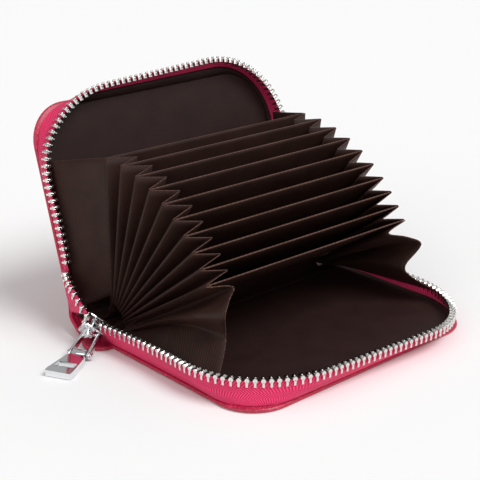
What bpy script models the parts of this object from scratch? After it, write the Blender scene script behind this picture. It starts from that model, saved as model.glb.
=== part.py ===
"""Zip-round accordion card holder, shown fully open, in metres with +Z up.

The back cover lies flat, outer face on z = 0, with the origin at the middle of that face.
X runs along the spine, and Y from the front edge to the spine. The spine and the front cover
stand behind, and ten pocket dividers fan out between the two covers.
Every fold line runs along X, and a positive turn about X closes the holder.
"""
import math

import bmesh
import bpy
from mathutils import Matrix, Vector

# Covers
LENGTH = 0.111           # along the spine
DEPTH = 0.0782           # from the spine crease to the front edge
CORNER = 0.015           # corner radius of the leather
LEATHER = 0.0016         # leather with its turned edge
EDGE_ROUND = 0.0005      # rounding of the leather's edge
CORNER_STEPS = 8

# Layers inside a cover
SEAT = 0.0003            # gap between two pieces that touch
BOARD = 0.0007
LINING = 0.0005
LINING_CORNER = 0.019    # the lining's corners stay clear of the wall, which leans in there
INNER_SETBACK = 0.003    # from the spine crease to the board and the lining

# Spine
SPINE_SHORT = 0.0022     # the spine stops this far inside each end of the covers

# Ears, which go round the ends of the spine, from the side of one cover to the side of the other
EAR = 0.0011             # leather
EAR_REACH = 0.0056       # how far an ear stands out
EAR_CURL = 0.0080        # how far its rim curls inwards
EAR_BACK = 0.0058        # its end on the back cover, from the spine crease
EAR_FRONT = 0.0060       # its end on the front cover
EAR_FOLD_ROOM = 0.0020   # it rounds off each fold by this much
EAR_STEPS = 4            # across it

# Zip tape, which stands as a wall on three sides of each cover
TAPE = 0.0005
TAPE_INSET = 0.0014        # foot of the tape, in from the leather's edge
TAPE_FLANGE = 0.0036       # sewn part of the tape, under the lining
TAPE_SWELL_SIDE = 0.0035   # how far the wall leans out over the leather at the short sides
TAPE_SWELL_FRONT = 0.0052  # and at the front
TAPE_TOP_CORNER = 0.037    # corner radius of the tape's free edge
TAPE_MID_LEAN = 0.6        # share of the lean that is reached half way up
TAPE_START = 0.0040        # the wall starts this far from the spine crease
WALL_SIDE_STEPS = 6
WALL_CORNER_STEPS = 11
WALL_FRONT_STEPS = 5

# Zip teeth
LOWER_ROW = 0.0108       # tip of a tooth above the back cover's outer face
UPPER_ROW = 0.0099       # and above the front cover's
ROW_MEET_GAP = 0.0003    # gap between the two rows when the holder is shut
TOOTH_PITCH = 0.0028
TOOTH_LENGTH = 0.0012    # along the row
TOOTH_WIDTH = 0.0023     # across the tape
TOOTH_TIP_WIDTH = 0.0015
TOOTH_HEIGHT = 0.0031
TOOTH_CROWN = 0.0011     # solid metal over the tape's edge
STOP_LENGTH = 0.0024
LOWER_ROW_START = 0.0047   # first tooth, from the spine crease, beside the slider
UPPER_ROW_START = 0.0205   # first tooth of the upper row that stands on the straight wall
ROW_END = 0.0105           # last tooth, from the spine crease, at the far end

# Free end of the upper row, which bends down to the slider
SWEEP_TEETH = 8
SWEEP_END = 0.0044       # its last tooth, from the spine crease
SWEEP_RISE = 0.0141      # and above the row
SWEEP_OUT = 0.0033       # and out from the row
SWEEP_NOTCH = 0.0066     # the standing wall stops at this height under the loose end

# Accordion
DIVIDERS = 10
DIVIDER = 0.00045        # thickness
END_ROOM = 0.00805       # from a divider's end to the leather's edge
FRONT_ROOM = 0.0237      # how much shorter a divider is than a cover
DIVIDER_FOOT = 0.0006    # from its hinge line to its lower edge
DIVIDER_CORNER = 0.0012
DIVIDER_PITCH = 0.00105  # hinge line to hinge line
FAN_SETBACK = 0.0028     # lowest hinge line, in front of the spine crease
FAN_HEIGHT = 0.0066      # lowest hinge line, above the floor
PLEAT_CLOTH = 0.0003
PLEAT_DEPTH = 0.0095     # how far a pleat's fold goes in between two dividers
PLEAT_FOOT = 0.0115      # a pleat starts this far from the hinge lines
CLOTH_STEPS = 6          # stations along a fold

# Cloth ends of the two note pockets. They hang between a divider's end and the wall of a cover.
END_CLOTH = 0.00035
END_FOOT = 0.0102        # the narrow foot, from the spine crease
LOWER_IN = (0.0095, 0.0055, 0.0010)     # folds of the lower one, in from the divider's end
LOWER_ALONG = (0.93, 0.93, 1.03)        # their front ends, as shares of the divider's reach
LOWER_UP = (0.59, 0.415, 0.275)         # and their heights, as shares of it too
LOWER_FOOT_IN = (0.0015, 0.0006, -0.0020)
LOWER_FOOT_UP = (0.87, 0.69, 0.54)      # shares of the row's height
LOWER_BOW = ((0.0012, 0.0), (-0.0008, 0.0014), (0.0010, 0.0))   # outwards and upwards, half way
LOWER_WALL = 0.0012      # where it meets the wall, in from the leather's edge
LOWER_WALL_ALONG = 1.11
UPPER_WALL = 0.0008
UPPER_WALL_ALONG = 1.064
UPPER_FOLD = 0.42        # place of the upper one's soft fold, from the divider to the wall
UPPER_BOW = 0.0016
WALL_FOOT_UP = 0.45      # height of both on the wall, as a share of the row's height: foot
WALL_UP = 0.75           # and front end

# Opening, in degrees from shut
SPINE_TURN = 81.5
COVER_TURN = 24.7
FIRST_DIVIDER_TURN = 31.4
NEXT_DIVIDER_TURN = 4.8
TURN_GROWTH = 1.07       # each opening is this many times the one below it

# Slider
SLIDER_OUT = 0.0027      # its middle, beyond the end of the covers
SLIDER_BEHIND = 0.0018   # behind the spine crease
SLIDER_DROP = 0.0035     # and below the tips of the lower row
SLIDER_RISE = 31.5       # its mouth faces the front, and up by this angle
SLIDER_ROLL = 50.0       # its outer plate faces out, and down by this one
SLIDER_LENGTH = 0.0086
SLIDER_MOUTH = 0.0076
SLIDER_TAIL = 0.0058
SLIDER_PLATE = 0.0009
SLIDER_CHANNEL = 0.0027
SLIDER_RAIL = 0.0008     # height of the rails along its sides
SLIDER_RAIL_WIDTH = 0.0007
SLIDER_CUT = 0.0008      # cut corner
SLIDER_POST = 0.0015     # half width of the post
FUSED = 0.0002           # overlap of two bodies that are fused into one
CROWN_WIDTH = 0.0012
CROWN_LENGTH = 0.0048
CROWN_HEIGHT = 0.0030
CROWN_WALL = 0.0008
CROWN_FORWARD = 0.0012   # from the slider's middle towards its mouth

# Pull
PULL_YAW = 27.0          # the pull lies turned towards the front
LINK_LENGTH = 0.0093     # between its two pins
LINK_WIDTH_TOP = 0.0070  # at the crossbar
LINK_WIDTH = 0.0084      # at the rivet
LINK_ARM = 0.0011
LINK_EYE = 0.0014        # outer radius round the rivet
RIVET_RADIUS = 0.0005
RIVET_HEAD = 0.0004      # height of its head
RUNNING_GAP = 0.0003
CROSSBAR_RADIUS = 0.0005
TAB_LENGTH = 0.0158      # from the rivet to the end
TAB_WIDTH_TOP = 0.0074
TAB_WIDTH_END = 0.0098
TAB_THICK = 0.0015
TAB_THICK_END = 0.0022
TAB_EYE = 0.0017         # outer radius of the tab's eye
TAB_EYE_LENGTH = 0.0052
TAB_SHOULDER = 0.0026    # from the rivet to the plate
TAB_CHAMFER = 0.0010
TAB_FOOT = 0.0022        # length of the straight-sided end
TAB_SLOT_PLACE = 0.0100  # from the rivet to the middle of the slot
TAB_SLOT_LENGTH = 0.0072
TAB_SLOT_WIDTH = 0.0036
FLOOR_GAP = 0.0002       # the pull lies this far above the floor

# Heights and places that follow from the sizes above
DIVIDER_LENGTH = LENGTH - 2.0 * END_ROOM
DIVIDER_REACH = DEPTH - FRONT_ROOM
SHUT_HEIGHT = LOWER_ROW + UPPER_ROW + ROW_MEET_GAP
SPINE_SPAN = SHUT_HEIGHT - LEATHER
CREASE_Y = 0.5 * DEPTH
CREASE_Z = 0.5 * LEATHER
FOOT_HEIGHT = LEATHER + SEAT
LINING_HEIGHT = FOOT_HEIGHT + BOARD + SEAT
ALONG_X = Matrix(((0, 0, 1, 0), (1, 0, 0, 0), (0, 1, 0, 0), (0, 0, 0, 1)))   # turns a prism's Z to X


def material(name, rgb, roughness, metallic=0.0):
    mat = bpy.data.materials.new(name)
    mat.use_nodes = True
    shader = mat.node_tree.nodes["Principled BSDF"]
    shader.inputs["Base Color"].default_value = (*rgb, 1.0)
    shader.inputs["Roughness"].default_value = roughness
    shader.inputs["Metallic"].default_value = metallic
    mat.diffuse_color = (*rgb, 1.0)
    return mat


def new_object(name, data, parent=None):
    obj = bpy.data.objects.new(name, data)
    bpy.context.scene.collection.objects.link(obj)
    obj.parent = parent
    return obj


def frame(name, parent, place, turn):
    """An empty on a fold line or pin, turned about X to the pose that the part is shown in."""
    empty = new_object(name, None, parent)
    empty.location = place
    empty.rotation_euler.x = math.radians(turn)
    return empty


def piece(name, bm, parent, mat, smooth_angle=None):
    """Turn a bmesh into a named piece that hangs on its frame."""
    bmesh.ops.recalc_face_normals(bm, faces=bm.faces)
    mesh = bpy.data.meshes.new(name)
    bm.to_mesh(mesh)
    bm.free()
    mesh.materials.append(mat)
    if smooth_angle is not None:
        mesh.shade_smooth()
        mesh.set_sharp_from_angle(angle=math.radians(smooth_angle))
    return new_object(name, mesh, parent)


def guide(name, bm, parent):
    """A body that only cuts or adds to another one, and isn't built itself."""
    bmesh.ops.recalc_face_normals(bm, faces=bm.faces)
    mesh = bpy.data.meshes.new(name)
    bm.to_mesh(mesh)
    bm.free()
    obj = new_object(name, mesh, parent)
    obj.hide_render = True
    obj.display_type = "WIRE"
    return obj


def boolean(obj, other, operation):
    mod = obj.modifiers.new(other.name, "BOOLEAN")
    mod.operation = operation
    mod.object = other


def add_prism(bm, outline, low, high, place=None):
    """Extrude a flat outline of (x, y) points from low to high, and move the result by a matrix."""
    face = bm.faces.new([bm.verts.new((x, y, low)) for x, y in outline])
    grown = bmesh.ops.extrude_face_region(bm, geom=[face])
    tops = [item for item in grown["geom"] if isinstance(item, bmesh.types.BMVert)]
    bmesh.ops.translate(bm, verts=tops, vec=(0.0, 0.0, high - low))
    if place is not None:
        bmesh.ops.transform(bm, verts=list(face.verts) + tops, matrix=place)


def prism(outline, low, high, place=None):
    bm = bmesh.new()
    add_prism(bm, outline, low, high, place)
    return bm


def arc(x, y, radius, first, last, steps):
    """Points on an arc about (x, y), from one angle in degrees to another, both included."""
    points = []
    for step in range(steps + 1):
        angle = math.radians(first + (last - first) * step / steps)
        points.append((x + radius * math.cos(angle), y + radius * math.sin(angle)))
    return points


def disc(x, y, radius, steps=16):
    return arc(x, y, radius, 0.0, 360.0, steps)[:-1]


def between(a, b, share):
    return a + (b - a) * share


def straight(start, end, steps):
    """Points from start to end, without the end."""
    return [
        (start[0] + (end[0] - start[0]) * i / steps, start[1] + (end[1] - start[1]) * i / steps)
        for i in range(steps)
    ]


def three_sides(half, front, radius, start, side_steps, corner_steps, front_steps):
    """From the spine end of the left side, round the front, to the spine end of the right side."""
    left = straight((-half, start), (-half, front - radius), side_steps)
    left_corner = arc(-half + radius, front - radius, radius, 180.0, 90.0, corner_steps)[:-1]
    middle = straight((-half + radius, front), (half - radius, front), front_steps)
    right_corner = arc(half - radius, front - radius, radius, 90.0, 0.0, corner_steps)[:-1]
    right = straight((half, front - radius), (half, start), side_steps)
    return left + left_corner + middle + right_corner + right + [(half, start)]


def panel_outline(inset, start, corner):
    """A cover's outline or a layer's inside it: square at the spine, round at the front corners."""
    half = 0.5 * LENGTH - inset
    return three_sides(half, DEPTH - inset, corner, start, 1, CORNER_STEPS, 1)


def tape_line(lean, offset, side_steps=WALL_SIDE_STEPS, corner_steps=WALL_CORNER_STEPS):
    """The tape's line for a lean from 0 at its foot to 1 at its free edge, moved in by an offset."""
    half = 0.5 * LENGTH - TAPE_INSET + lean * (TAPE_INSET + TAPE_SWELL_SIDE) - offset
    front = DEPTH - TAPE_INSET + lean * (TAPE_INSET + TAPE_SWELL_FRONT) - offset
    foot_corner = CORNER - TAPE_INSET
    radius = foot_corner + lean * (TAPE_TOP_CORNER - foot_corner) - offset
    return three_sides(half, front, radius, TAPE_START, side_steps, corner_steps, WALL_FRONT_STEPS)


def make_cover(name, parent, inward, mat):
    """Leather panel, with its outer face half its thickness outside the fold line."""
    start = 0.5 * LEATHER + SEAT
    low, high = sorted((-0.5 * LEATHER * inward, 0.5 * LEATHER * inward))
    obj = piece(name, prism(panel_outline(0.0, start, CORNER), low, high), parent, mat, 40.0)
    bevel = obj.modifiers.new("rolled edge", "BEVEL")
    bevel.width = EDGE_ROUND
    bevel.segments = 2
    bevel.limit_method = "ANGLE"
    bevel.angle_limit = math.radians(60.0)


def make_layer(name, parent, inward, inset, corner, height, thick, mat):
    """A flat layer inside a cover, at a height above the cover's outer face."""
    ends = sorted((inward * (height - CREASE_Z), inward * (height + thick - CREASE_Z)))
    piece(name, prism(panel_outline(inset, INNER_SETBACK, corner), *ends), parent, mat)


def make_tape(name, parent, inward, row, mat):
    """The zip's cloth tape: a sewn flange, a wall that swells out, and a straight free edge."""
    top, knee = row - TOOTH_CROWN - SEAT, row - TOOTH_HEIGHT - SEAT
    middle = 0.5 * (FOOT_HEIGHT + knee)
    section = [
        (0.0, 0.0, FOOT_HEIGHT), (TAPE_MID_LEAN, 0.0, middle), (1.0, 0.0, knee), (1.0, 0.0, top),
        (1.0, TAPE, top), (1.0, TAPE, knee), (TAPE_MID_LEAN, TAPE, middle), (0.0, TAPE, FOOT_HEIGHT + TAPE),
        (0.0, TAPE_FLANGE, FOOT_HEIGHT + TAPE), (0.0, TAPE_FLANGE, FOOT_HEIGHT),
    ]
    bm = bmesh.new()
    rings = []
    for lean, offset, height in section:
        line = tape_line(lean, offset)
        rings.append([bm.verts.new((x, y, inward * (height - CREASE_Z))) for x, y in line])
    sides = len(rings)
    stations = len(rings[0])
    for side in range(sides):
        here, there = rings[side], rings[(side + 1) % sides]
        for i in range(stations - 1):
            bm.faces.new((here[i], here[i + 1], there[i + 1], there[i]))
    bm.faces.new([ring[0] for ring in rings])
    bm.faces.new([ring[-1] for ring in reversed(rings)])
    return piece(name, bm, parent, mat, 50.0)


def tooth_outline():
    """A tooth seen along the row: a crown over the tape's edge and a leg down each side of it."""
    half, tip = 0.5 * TOOTH_WIDTH, 0.5 * TOOTH_TIP_WIDTH
    return [
        (-half, -TOOTH_HEIGHT), (-half, -0.5 * TOOTH_CROWN), (-tip, 0.0),
        (tip, 0.0), (half, -0.5 * TOOTH_CROWN), (half, -TOOTH_HEIGHT),
    ]


def row_places(first, last, shift):
    """Places of the teeth along the tape's free edge, as (x, y, direction along the row)."""
    line = [Vector(point) for point in tape_line(1.0, 0.5 * TAPE, 24, 48)]
    lengths = [(b - a).length for a, b in zip(line, line[1:])]
    travel = sum(lengths)
    place = first - TAPE_START + shift
    spots = []
    while place <= travel - (last - TAPE_START) + 1e-9:
        left = place
        index = 0
        while left > lengths[index]:
            left -= lengths[index]
            index += 1
        along = (line[index + 1] - line[index]).normalized()
        spots.append((line[index] + along * left, along))
        place += TOOTH_PITCH
    return spots


def tooth_matrix(point, along, inward, height):
    """Stand a tooth's outline on the row: its width across the tape, its height towards the inside."""
    run = Vector((along.x, along.y, 0.0))
    up = Vector((0.0, 0.0, inward))
    across = up.cross(run)
    turn = Matrix((across, up, run)).transposed().to_4x4()
    return Matrix.Translation((point.x, point.y, inward * (height - CREASE_Z))) @ turn


def crimp_teeth(tape, parent, inward, row, first, shift):
    """Fuse the row of teeth with the tape that they are crimped on."""
    bm = bmesh.new()
    for point, along in row_places(first, ROW_END, shift):
        place = tooth_matrix(point, along, inward, row)
        add_prism(bm, tooth_outline(), -0.5 * TOOTH_LENGTH, 0.5 * TOOTH_LENGTH, place)
    boolean(tape, guide(f"{tape.name} teeth", bm, parent), "UNION")


def make_end_stop(name, parent, inward, row, mat):
    """A plain clip that ends the row at the far end, astride the tape's edge."""
    x = 0.5 * LENGTH + TAPE_SWELL_SIDE - 0.5 * TAPE
    y = TAPE_START + 0.5 * STOP_LENGTH + SEAT
    place = tooth_matrix(Vector((x, y)), Vector((0.0, -1.0)), inward, row - SEAT)
    half, slot = 0.5 * TOOTH_WIDTH, 0.5 * TAPE + SEAT
    top, foot = -SEAT, -TOOTH_HEIGHT
    outline = [(-half, foot), (-half, top), (half, top), (half, foot),
               (slot, foot), (slot, -TOOTH_CROWN + SEAT), (-slot, -TOOTH_CROWN + SEAT), (-slot, foot)]
    piece(name, prism(outline, -0.5 * STOP_LENGTH, 0.5 * STOP_LENGTH, place), parent, mat)


def sweep_curve(share):
    """Tip line of the upper row's free end: (distance from the crease, height, direction)."""
    start = Vector((UPPER_ROW_START - 0.5 * TOOTH_PITCH, UPPER_ROW))
    end = Vector((SWEEP_END, UPPER_ROW + SWEEP_RISE))
    knee = Vector((between(start.x, end.x, 0.3), start.y))
    point = (1 - share) ** 2 * start + 2 * share * (1 - share) * knee + share ** 2 * end
    along = (2 * (1 - share) * (knee - start) + 2 * share * (end - knee)).normalized()
    return point, along


def notch_wall(tape, parent, inward, end, height):
    """Lower the wall at the left end of the spine, up to a distance from the crease."""
    outside = -LENGTH
    outline = [(outside, 0.0), (0.4 * outside, 0.0), (0.4 * outside, end), (outside, end)]
    ends = sorted((inward * (height - CREASE_Z), inward * SHUT_HEIGHT))
    boolean(tape, guide(f"{tape.name} notch", prism(outline, *ends), parent), "DIFFERENCE")


def make_sweep(parent, mat):
    """Loose end of the upper zip half: the tape and the teeth on it bend down to the slider."""
    side = -0.5 * LENGTH - TAPE_SWELL_SIDE + 0.5 * TAPE
    low = SWEEP_NOTCH + SEAT - CREASE_Z
    teeth = bmesh.new()
    line = []
    for number in range(SWEEP_TEETH + 1):
        share = number / SWEEP_TEETH
        point, along = sweep_curve(share)
        run = Vector((0.0, along.x, along.y))
        up = Vector((0.0, along.y, -along.x))
        tip = Vector((side - SWEEP_OUT * share ** 2, point.x, point.y - CREASE_Z))
        if number:
            turn = Matrix((up.cross(run), up, run)).transposed().to_4x4()
            place = Matrix.Translation(tip) @ turn
            add_prism(teeth, tooth_outline(), -0.5 * TOOTH_LENGTH, 0.5 * TOOTH_LENGTH, place)
        edge = tip - up * TOOTH_CROWN
        line.append((Vector((side, edge.y, low)), edge))
    bm = bmesh.new()
    skins = [[[bm.verts.new(point + Vector((shift * TAPE, 0.0, 0.0))) for point in pair] for pair in line]
             for shift in (-0.5, 0.5)]
    close_skins(bm, *skins)
    loose = piece("front_zip_end", bm, parent, mat)
    boolean(loose, guide("front zip end teeth", teeth, parent), "UNION")


def make_spine(parent, mat):
    """Leather strip with a rolled crease along each long edge."""
    radius = 0.5 * LEATHER
    low = arc(0.0, 0.0, radius, 270.0, 90.0, 6)
    high = arc(SPINE_SPAN, 0.0, radius, 90.0, -90.0, 6)
    half = 0.5 * LENGTH - SPINE_SHORT
    piece("spine", prism(low + high, -half, half, ALONG_X), parent, mat, 40.0)


def ear_places():
    """Stations along an ear, from the back cover to the front one: (panel, distance from its fold)."""
    back = [("back", EAR_BACK * share) for share in (1.0, 0.75, 0.5)] + [("back", EAR_FOLD_ROOM * 0.5)]
    span = SPINE_SPAN - 2.0 * EAR_FOLD_ROOM
    spine = [("spine", EAR_FOLD_ROOM * 0.5 + span * step / 5) for step in range(6)]
    front = [("front", between(EAR_FOLD_ROOM, EAR_FRONT, share)) for share in (0.0, 0.5, 1.0)]
    return back + spine + front


def make_ear(name, panels, side, mat):
    """Leather ear that closes the end of the spine and lies round the end of the zip."""
    start = 0.5 * LENGTH + SEAT
    places = ear_places()
    rows = []
    for number, (panel, along) in enumerate(places):
        parent, inward = panels[panel]
        share = number / (len(places) - 1)
        swell = math.sin(math.pi * (0.08 + 0.90 * share ** 0.6))
        curl = EAR_CURL * share ** 3 * math.sin(math.pi * share)
        row = []
        for step in range(EAR_STEPS + 1):
            out = step / EAR_STEPS
            point = Vector((side * (start + EAR_REACH * out * swell), along, inward * curl * out ** 2))
            row.append(parent.matrix_world @ point)
        rows.append(row)
    cloth(name, rows, EAR, panels["spine"][0], mat, world=True)


def cloth(name, rows, thick, parent, mat, world=False):
    """A sheet through a grid of points, with a thickness. World points are put in the frame's own axes."""
    bm = bmesh.new()
    back = parent.matrix_world.inverted() if world else Matrix.Identity(4)
    grid = [[bm.verts.new(back @ Vector(point)) for point in row] for row in rows]
    for low, high in zip(grid, grid[1:]):
        for i in range(len(low) - 1):
            bm.faces.new((low[i], low[i + 1], high[i + 1], high[i]))
    obj = piece(name, bm, parent, mat, 35.0)
    solid = obj.modifiers.new("thickness", "SOLIDIFY")
    solid.thickness = thick
    solid.offset = 0.0


def make_divider(number, parent, mat):
    half, top = 0.5 * DIVIDER_LENGTH, DIVIDER_REACH
    cut = DIVIDER_CORNER
    right = arc(half - cut, top - cut, cut, 0.0, 90.0, 3)
    left = arc(-half + cut, top - cut, cut, 90.0, 180.0, 3)
    outline = [(-half, DIVIDER_FOOT), (half, DIVIDER_FOOT)] + right + left
    piece(f"divider_{number:02d}", prism(outline, -0.5 * DIVIDER, 0.5 * DIVIDER), parent, mat)


def pleat_rows(lower, upper, side):
    """One pleat: from the end of the lower divider, in to its fold, and out to the upper divider."""
    off = 0.5 * DIVIDER + SEAT + 0.5 * PLEAT_CLOTH
    end_x = side * 0.5 * DIVIDER_LENGTH
    fold_x = side * (0.5 * DIVIDER_LENGTH - PLEAT_DEPTH)
    rows = []
    for step in range(CLOTH_STEPS + 1):
        reach = between(PLEAT_FOOT, DIVIDER_REACH, step / CLOTH_STEPS)
        low = lower.matrix_world @ Vector((end_x, reach, -off))
        high = upper.matrix_world @ Vector((end_x, reach, off))
        fold = 0.5 * (low + high)
        fold.x = fold_x
        rows.append((low, fold, high))
    return rows


def make_pleat(name, lower, upper, side, mat):
    """One pleat of the strip of cloth that joins the dividers' ends."""
    bm = bmesh.new()
    back = lower.matrix_world.inverted()
    skins = []
    for shift in (-0.5, 0.5):
        skin = []
        for low, fold, high in pleat_rows(lower, upper, side):
            leg = (high - low).normalized() * PLEAT_CLOTH * shift
            inner = Vector((-side * PLEAT_CLOTH * shift, 0.0, 0.0))
            skin.append([bm.verts.new(back @ point) for point in (low - leg, fold + inner, high + leg)])
        skins.append(skin)
    close_skins(bm, *skins)
    piece(name, bm, lower, mat)


def close_skins(bm, first, second):
    """Join two equal grids of points into one closed body."""
    rows, columns = len(first), len(first[0])
    for grid in (first, second):
        for r in range(rows - 1):
            for c in range(columns - 1):
                bm.faces.new((grid[r][c], grid[r][c + 1], grid[r + 1][c + 1], grid[r + 1][c]))
    for r in range(rows - 1):
        for c in (0, columns - 1):
            bm.faces.new((first[r][c], first[r + 1][c], second[r + 1][c], second[r][c]))
    for c in range(columns - 1):
        for r in (0, rows - 1):
            bm.faces.new((first[r][c], first[r][c + 1], second[r][c + 1], second[r][c]))


def fan_rows(foot, edge, bow):
    """Lines of cloth from a narrow foot to a wide front edge, bowed out half way by a vector each."""
    rows = []
    for step in range(CLOTH_STEPS + 1):
        share = step / CLOTH_STEPS
        swell = math.sin(math.pi * share)
        rows.append([between(a, b, share) + swell * c for a, b, c in zip(foot, edge, bow)])
    return rows


def make_lower_gusset(name, fan, cover, side, mat):
    """Cloth that closes one end of the note pocket under the lowest divider."""
    under = 0.5 * DIVIDER + SEAT + 0.5 * END_CLOTH
    end_x = 0.5 * DIVIDER_LENGTH
    wall_x = 0.5 * LENGTH - LOWER_WALL

    def on_divider(reach):
        return fan.matrix_world @ Vector((side * end_x, reach, under))

    def in_cover(x, along, height):
        return cover.matrix_world @ Vector((side * x, along, -(height - CREASE_Z)))

    foot = [in_cover(end_x - inside, END_FOOT, up * LOWER_ROW)
            for inside, up in zip(LOWER_FOOT_IN, LOWER_FOOT_UP)]
    edge = [in_cover(end_x - inside, along * DIVIDER_REACH, up * DIVIDER_REACH)
            for inside, along, up in zip(LOWER_IN, LOWER_ALONG, LOWER_UP)]
    bow = [Vector((side * out, 0.0, up)) for out, up in LOWER_BOW]
    flat = Vector((0.0, 0.0, 0.0))
    foot = [on_divider(PLEAT_FOOT)] + foot + [in_cover(wall_x, END_FOOT, WALL_FOOT_UP * LOWER_ROW)]
    edge = [on_divider(DIVIDER_REACH)] + edge + [
        in_cover(wall_x, LOWER_WALL_ALONG * DIVIDER_REACH, WALL_UP * LOWER_ROW)]
    cloth(name, fan_rows(foot, edge, [flat] + bow + [flat]), END_CLOTH, cover, mat, world=True)


def make_upper_gusset(name, fan, cover, side, mat):
    """Cloth that closes one end of the note pocket between the top divider and the front cover."""
    over = 0.5 * DIVIDER + SEAT + 0.5 * END_CLOTH
    end_x = 0.5 * DIVIDER_LENGTH
    wall_x = 0.5 * LENGTH - UPPER_WALL

    def on_divider(reach):
        return fan.matrix_world @ Vector((side * end_x, reach, -over))

    def in_cover(x, along, height):
        return cover.matrix_world @ Vector((side * x, along, height - CREASE_Z))

    wall_foot = in_cover(wall_x, END_FOOT, WALL_FOOT_UP * UPPER_ROW)
    wall_edge = in_cover(wall_x, UPPER_WALL_ALONG * DIVIDER_REACH, WALL_UP * UPPER_ROW)
    foot = [on_divider(PLEAT_FOOT), between(on_divider(PLEAT_FOOT), wall_foot, 0.5), wall_foot]
    edge = [on_divider(DIVIDER_REACH), between(on_divider(DIVIDER_REACH), wall_edge, UPPER_FOLD), wall_edge]
    flat = Vector((0.0, 0.0, 0.0))
    bow = [flat, Vector((-side * UPPER_BOW, 0.0, 0.0)), flat]
    cloth(name, fan_rows(foot, edge, bow), END_CLOTH, cover, mat, world=True)


def make_slider(parent, mat):
    """Two shield-shaped plates joined by a post between the rows, with side rails and a crown."""
    tail, mouth, half = 0.5 * SLIDER_TAIL, 0.5 * SLIDER_MOUTH, 0.5 * SLIDER_LENGTH
    waist, shoulder, nose = -0.1 * SLIDER_LENGTH, 0.22 * SLIDER_LENGTH, 0.42 * SLIDER_LENGTH
    left = [(-0.55 * mouth, half), (-mouth, nose), (-mouth, shoulder), (-tail, waist),
            (-tail, -half + SLIDER_CUT), (-tail + SLIDER_CUT, -half)]
    shield = left + [(-x, y) for x, y in reversed(left)]
    inner, outer = 0.5 * SLIDER_CHANNEL, 0.5 * SLIDER_CHANNEL + SLIDER_PLATE
    body = piece("slider_body", prism(shield, -outer, -inner), parent, mat, 35.0)
    boolean(body, guide("outer plate", prism(shield, inner, outer), parent), "UNION")
    widest = shoulder + SLIDER_CUT
    post = [(0.0, half - FUSED), (-SLIDER_POST, widest), (0.0, waist + SLIDER_CUT), (SLIDER_POST, widest)]
    boolean(body, guide("post", prism(post, -outer + FUSED, outer - FUSED), parent), "UNION")
    for side in (-1.0, 1.0):
        rail = [(tail, -half + SLIDER_CUT), (tail, waist), (mouth, shoulder),
                (mouth - SLIDER_RAIL_WIDTH, shoulder), (tail - SLIDER_RAIL_WIDTH, waist),
                (tail - SLIDER_RAIL_WIDTH, -half + SLIDER_CUT)]
        rail = [(side * x, y) for x, y in rail]
        for level in (-1.0, 1.0):
            ends = sorted((level * (inner - SLIDER_RAIL), level * (outer - FUSED)))
            name = f"rail {'left' if side < 0 else 'right'} {'inner' if level < 0 else 'outer'}"
            boolean(body, guide(name, prism(rail, *ends), parent), "UNION")
    return body, outer


def make_crown(body, outer, parent):
    """The bridge that the pull's crossbar passes under."""
    half, rise = 0.5 * CROWN_LENGTH, CROWN_HEIGHT
    place = Matrix.Translation((0.0, CROWN_FORWARD, 0.0)) @ ALONG_X
    arch = [(-half, outer - FUSED), (half, outer - FUSED), (half, outer + 0.55 * rise),
            (0.75 * half, outer + rise), (-0.75 * half, outer + rise), (-half, outer + 0.55 * rise)]
    block = prism(arch, -0.5 * CROWN_WIDTH, 0.5 * CROWN_WIDTH, place)
    boolean(body, guide("crown", block, parent), "UNION")
    hole_half = half - CROWN_WALL
    hole_top = outer + rise - CROWN_WALL
    hole = [(-hole_half, outer), (hole_half, outer), (hole_half, outer + 0.45 * rise),
            (0.75 * hole_half, hole_top), (-0.75 * hole_half, hole_top), (-hole_half, outer + 0.45 * rise)]
    window = prism(hole, -CROWN_WIDTH, CROWN_WIDTH, place)
    boolean(body, guide("crown window", window, parent), "DIFFERENCE")
    return outer + rise - CROWN_WALL - CROSSBAR_RADIUS - RUNNING_GAP


def make_link(parent, mat):
    """Open frame: a crossbar under the crown, two spread arms, and an eye for the rivet on each arm.

    Its own axes: X along the crossbar, Y down the pull, Z away from the floor.
    """
    arm_x = 0.5 * (LINK_WIDTH_TOP - LINK_ARM)
    spread = 0.5 * (LINK_WIDTH - LINK_WIDTH_TOP) / LINK_LENGTH
    rod = prism(disc(0.0, 0.0, CROSSBAR_RADIUS, 12), -arm_x, arm_x, ALONG_X)
    bar = piece("pull_link", rod, parent, mat, 40.0)
    back = arc(0.0, 0.0, 0.6 * LINK_EYE, 90.0, 270.0, 6)
    front = arc(LINK_LENGTH, 0.0, LINK_EYE, -100.0, 100.0, 10)
    for side, word in ((-1.0, "left"), (1.0, "right")):
        low, high = side * arm_x - 0.5 * LINK_ARM, side * arm_x + 0.5 * LINK_ARM
        shear = Matrix.Identity(4)
        shear[0][1] = side * spread
        arm = prism(back + front, low, high, shear @ ALONG_X)
        boolean(bar, guide(f"link arm {word}", arm, parent), "UNION")
    hole = disc(LINK_LENGTH, 0.0, RIVET_RADIUS + RUNNING_GAP)
    boolean(bar, guide("rivet hole", prism(hole, -LINK_WIDTH, LINK_WIDTH, ALONG_X), parent), "DIFFERENCE")


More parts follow.
